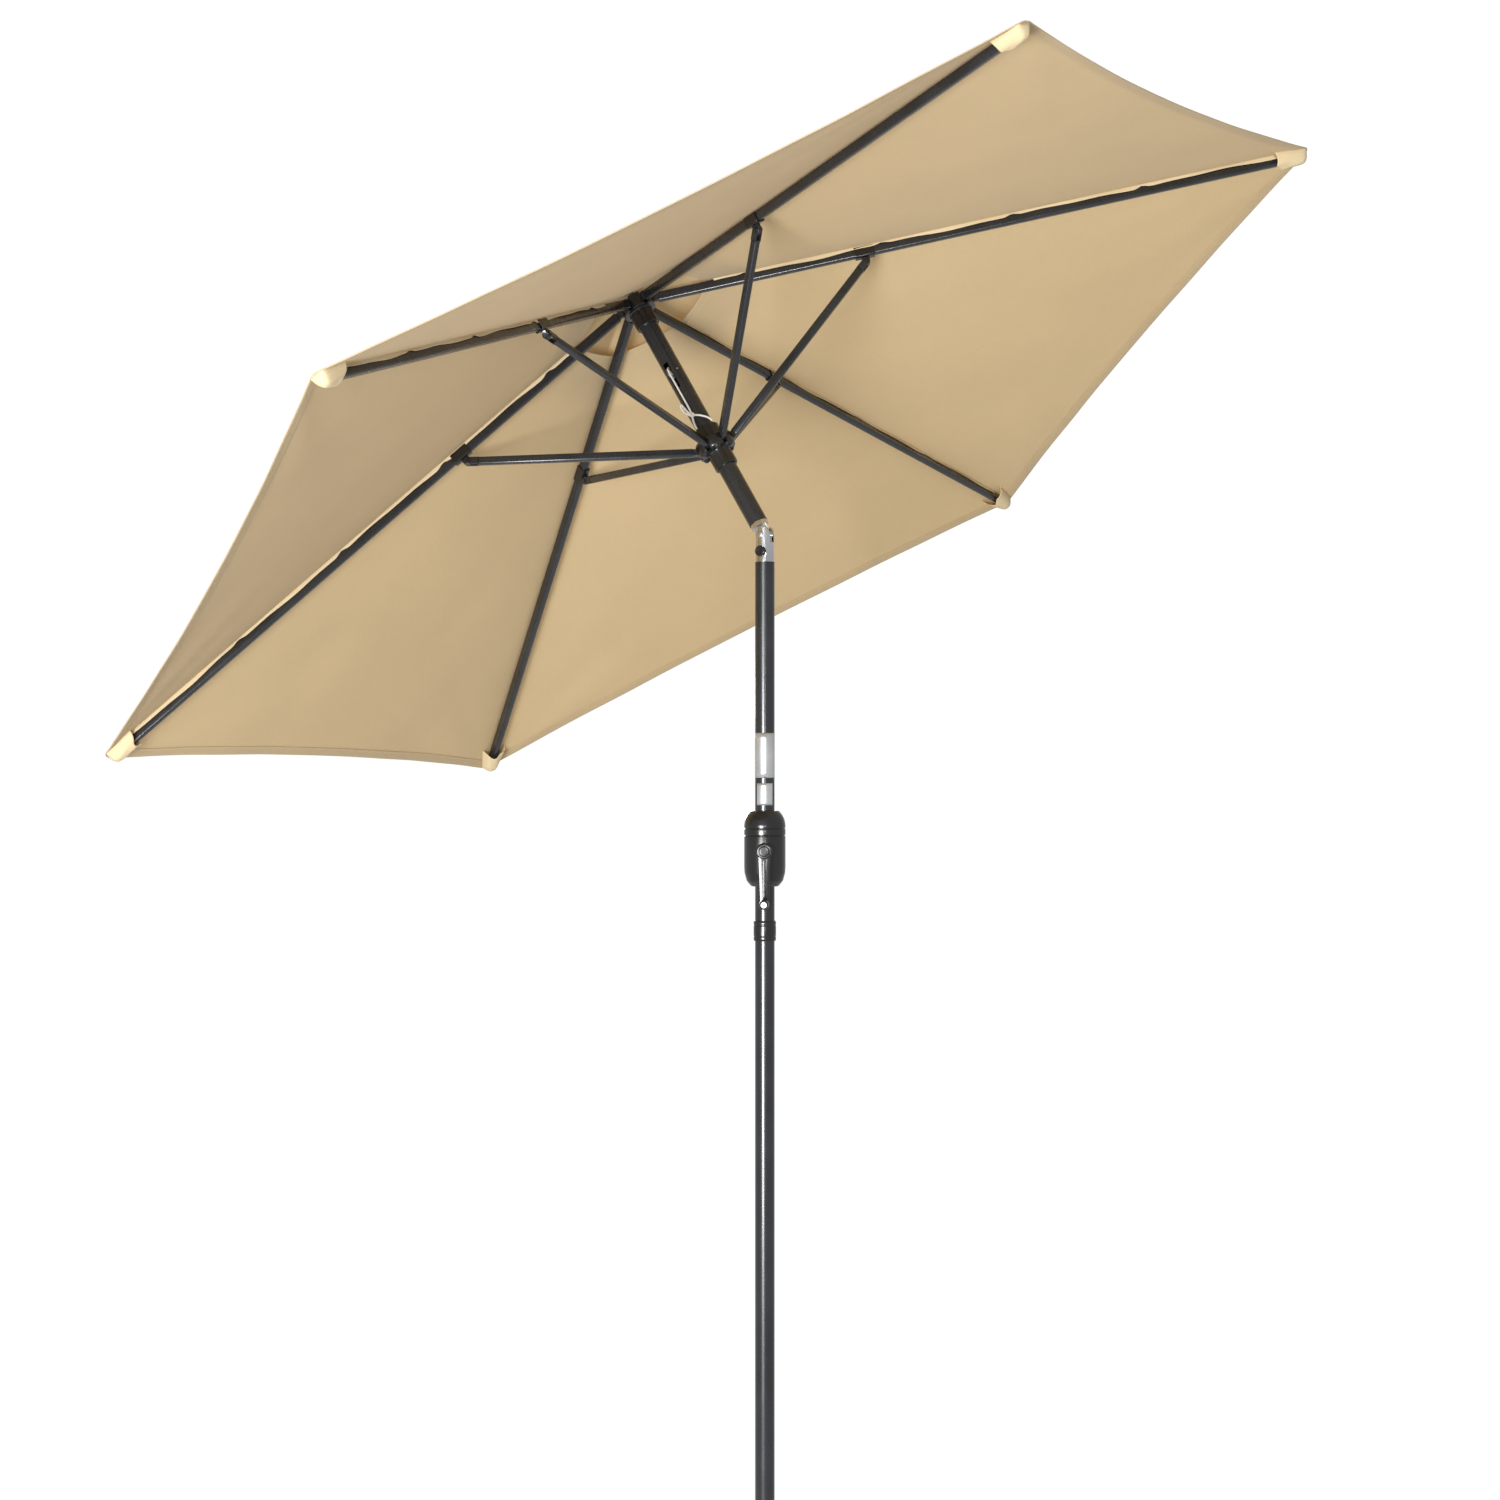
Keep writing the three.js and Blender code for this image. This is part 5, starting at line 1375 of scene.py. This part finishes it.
@dataclass
class Studio:
    """A small pale floor, soft lights and the camera."""

    floor_radius: float = 1.2
    lens: float = 87.74
    place: tuple = (3.163, -5.238, 1.543)
    azimuth: float = 31.1
    shift: tuple = (-0.011, -0.0094)
    ambient: float = 0.52

    def build(self) -> None:
        """Makes the floor, world, lights and camera."""
        scene = bpy.context.scene
        scene.view_settings.view_transform = "Standard"
        n = Nodes("studio_floor")
        tone = n.mix(n.spread(n.noise(3), 0, 1), (0.82, 0.82, 0.81), (0.85, 0.85, 0.84))
        floor_material = n.finish(n.add("ShaderNodeBsdfPrincipled", Base_Color=tone, Roughness=0.85).outputs[0])
        turn = np.linspace(0, 2 * np.pi, 97)[:-1]
        rings = np.linspace(0.02, self.floor_radius, 8)[:, None]
        grid = np.stack([rings * np.cos(turn), rings * np.sin(turn), -0.0005 + 0 * rings * turn], -1)
        data = Form().skin(grid[:, ::-1], around=True).mesh("studio_floor")
        data.materials.append(floor_material)
        floor = bpy.data.objects.new("studio_floor", data)
        scene.collection.objects.link(floor)
        world = bpy.data.worlds.new("studio")
        scene.world = world
        world.use_nodes = True
        tree = world.node_tree
        backdrop = tree.nodes["Background"]
        backdrop.inputs[0].default_value = (1, 1, 1, 1)
        seen = tree.nodes.new("ShaderNodeLightPath").outputs["Is Camera Ray"]
        strength = tree.nodes.new("ShaderNodeMapRange")
        strength.inputs["To Min"].default_value, strength.inputs["To Max"].default_value = self.ambient, 1.02
        tree.links.new(seen, strength.inputs["Value"])
        tree.links.new(strength.outputs[0], backdrop.inputs[1])
        self.lamp("key", (0.9, -4.8, 0.9), 1.6, 330, (-0.3, 0.1, 2.1))
        self.lamp("strip", (2.1, -3.2, 1.5), 0.35, 8, (0, 0, 1.4))
        self.lamp("overhead", (-0.6, -0.8, 4.8), 2.6, 60, (-0.3, 0, 2.0))
        self.lamp("back", (-2.6, 3.0, 2.2), 1.2, 40, (0, 0, 1.6))
        camera = bpy.data.objects.new("camera", bpy.data.cameras.new("camera"))
        scene.collection.objects.link(camera)
        camera.data.lens, camera.data.sensor_width = self.lens, 36
        camera.data.shift_x, camera.data.shift_y = self.shift
        turn_z = math.radians(self.azimuth)
        camera.location = self.place
        camera.rotation_euler = (math.pi / 2, 0, turn_z)
        scene.camera = camera

    def lamp(self, name: str, place: tuple, size: float, power: float, aim: tuple) -> None:
        """A square soft light that faces a point.

        Args:
            name: Its name.
            place: Where it stands.
            size: Its side.
            power: In watts.
            aim: The point it faces.
        """
        light = bpy.data.lights.new(name, "AREA")
        light.energy, light.size = power, size
        obj = bpy.data.objects.new(name, light)
        bpy.context.scene.collection.objects.link(obj)
        obj.location = place
        obj.rotation_euler = (Vector(aim) - Vector(place)).to_track_quat("-Z", "Y").to_euler()


def dress_cad_nodes() -> None:
    """Gives every CAD node the finish of its slot."""
    slot_of = {part["node"]: Slot(part["material_slot"]) for part in frame["record"]["subparts"]}
    for name, node in frame["nodes"].items():
        node.data.materials.clear()
        node.data.materials.append(MATERIALS[FINISH_OF[slot_of[name]].name])


def main() -> None:
    """Builds the studio and every sub-assembly."""
    logging.basicConfig(level=logging.INFO, format="%(name)s: %(message)s")
    Studio().build()
    dress_cad_nodes()
    Base().build()
    poles = Poles()
    poles.build()
    poles.build_upper()
    Crank().build()
    TiltJoint().build()
    arms = RibArms()
    arms.build()
    Cloth(arms).build()
    LiftCord().build()
    bpy.context.view_layer.update()


if __name__ == "__main__":
    main()
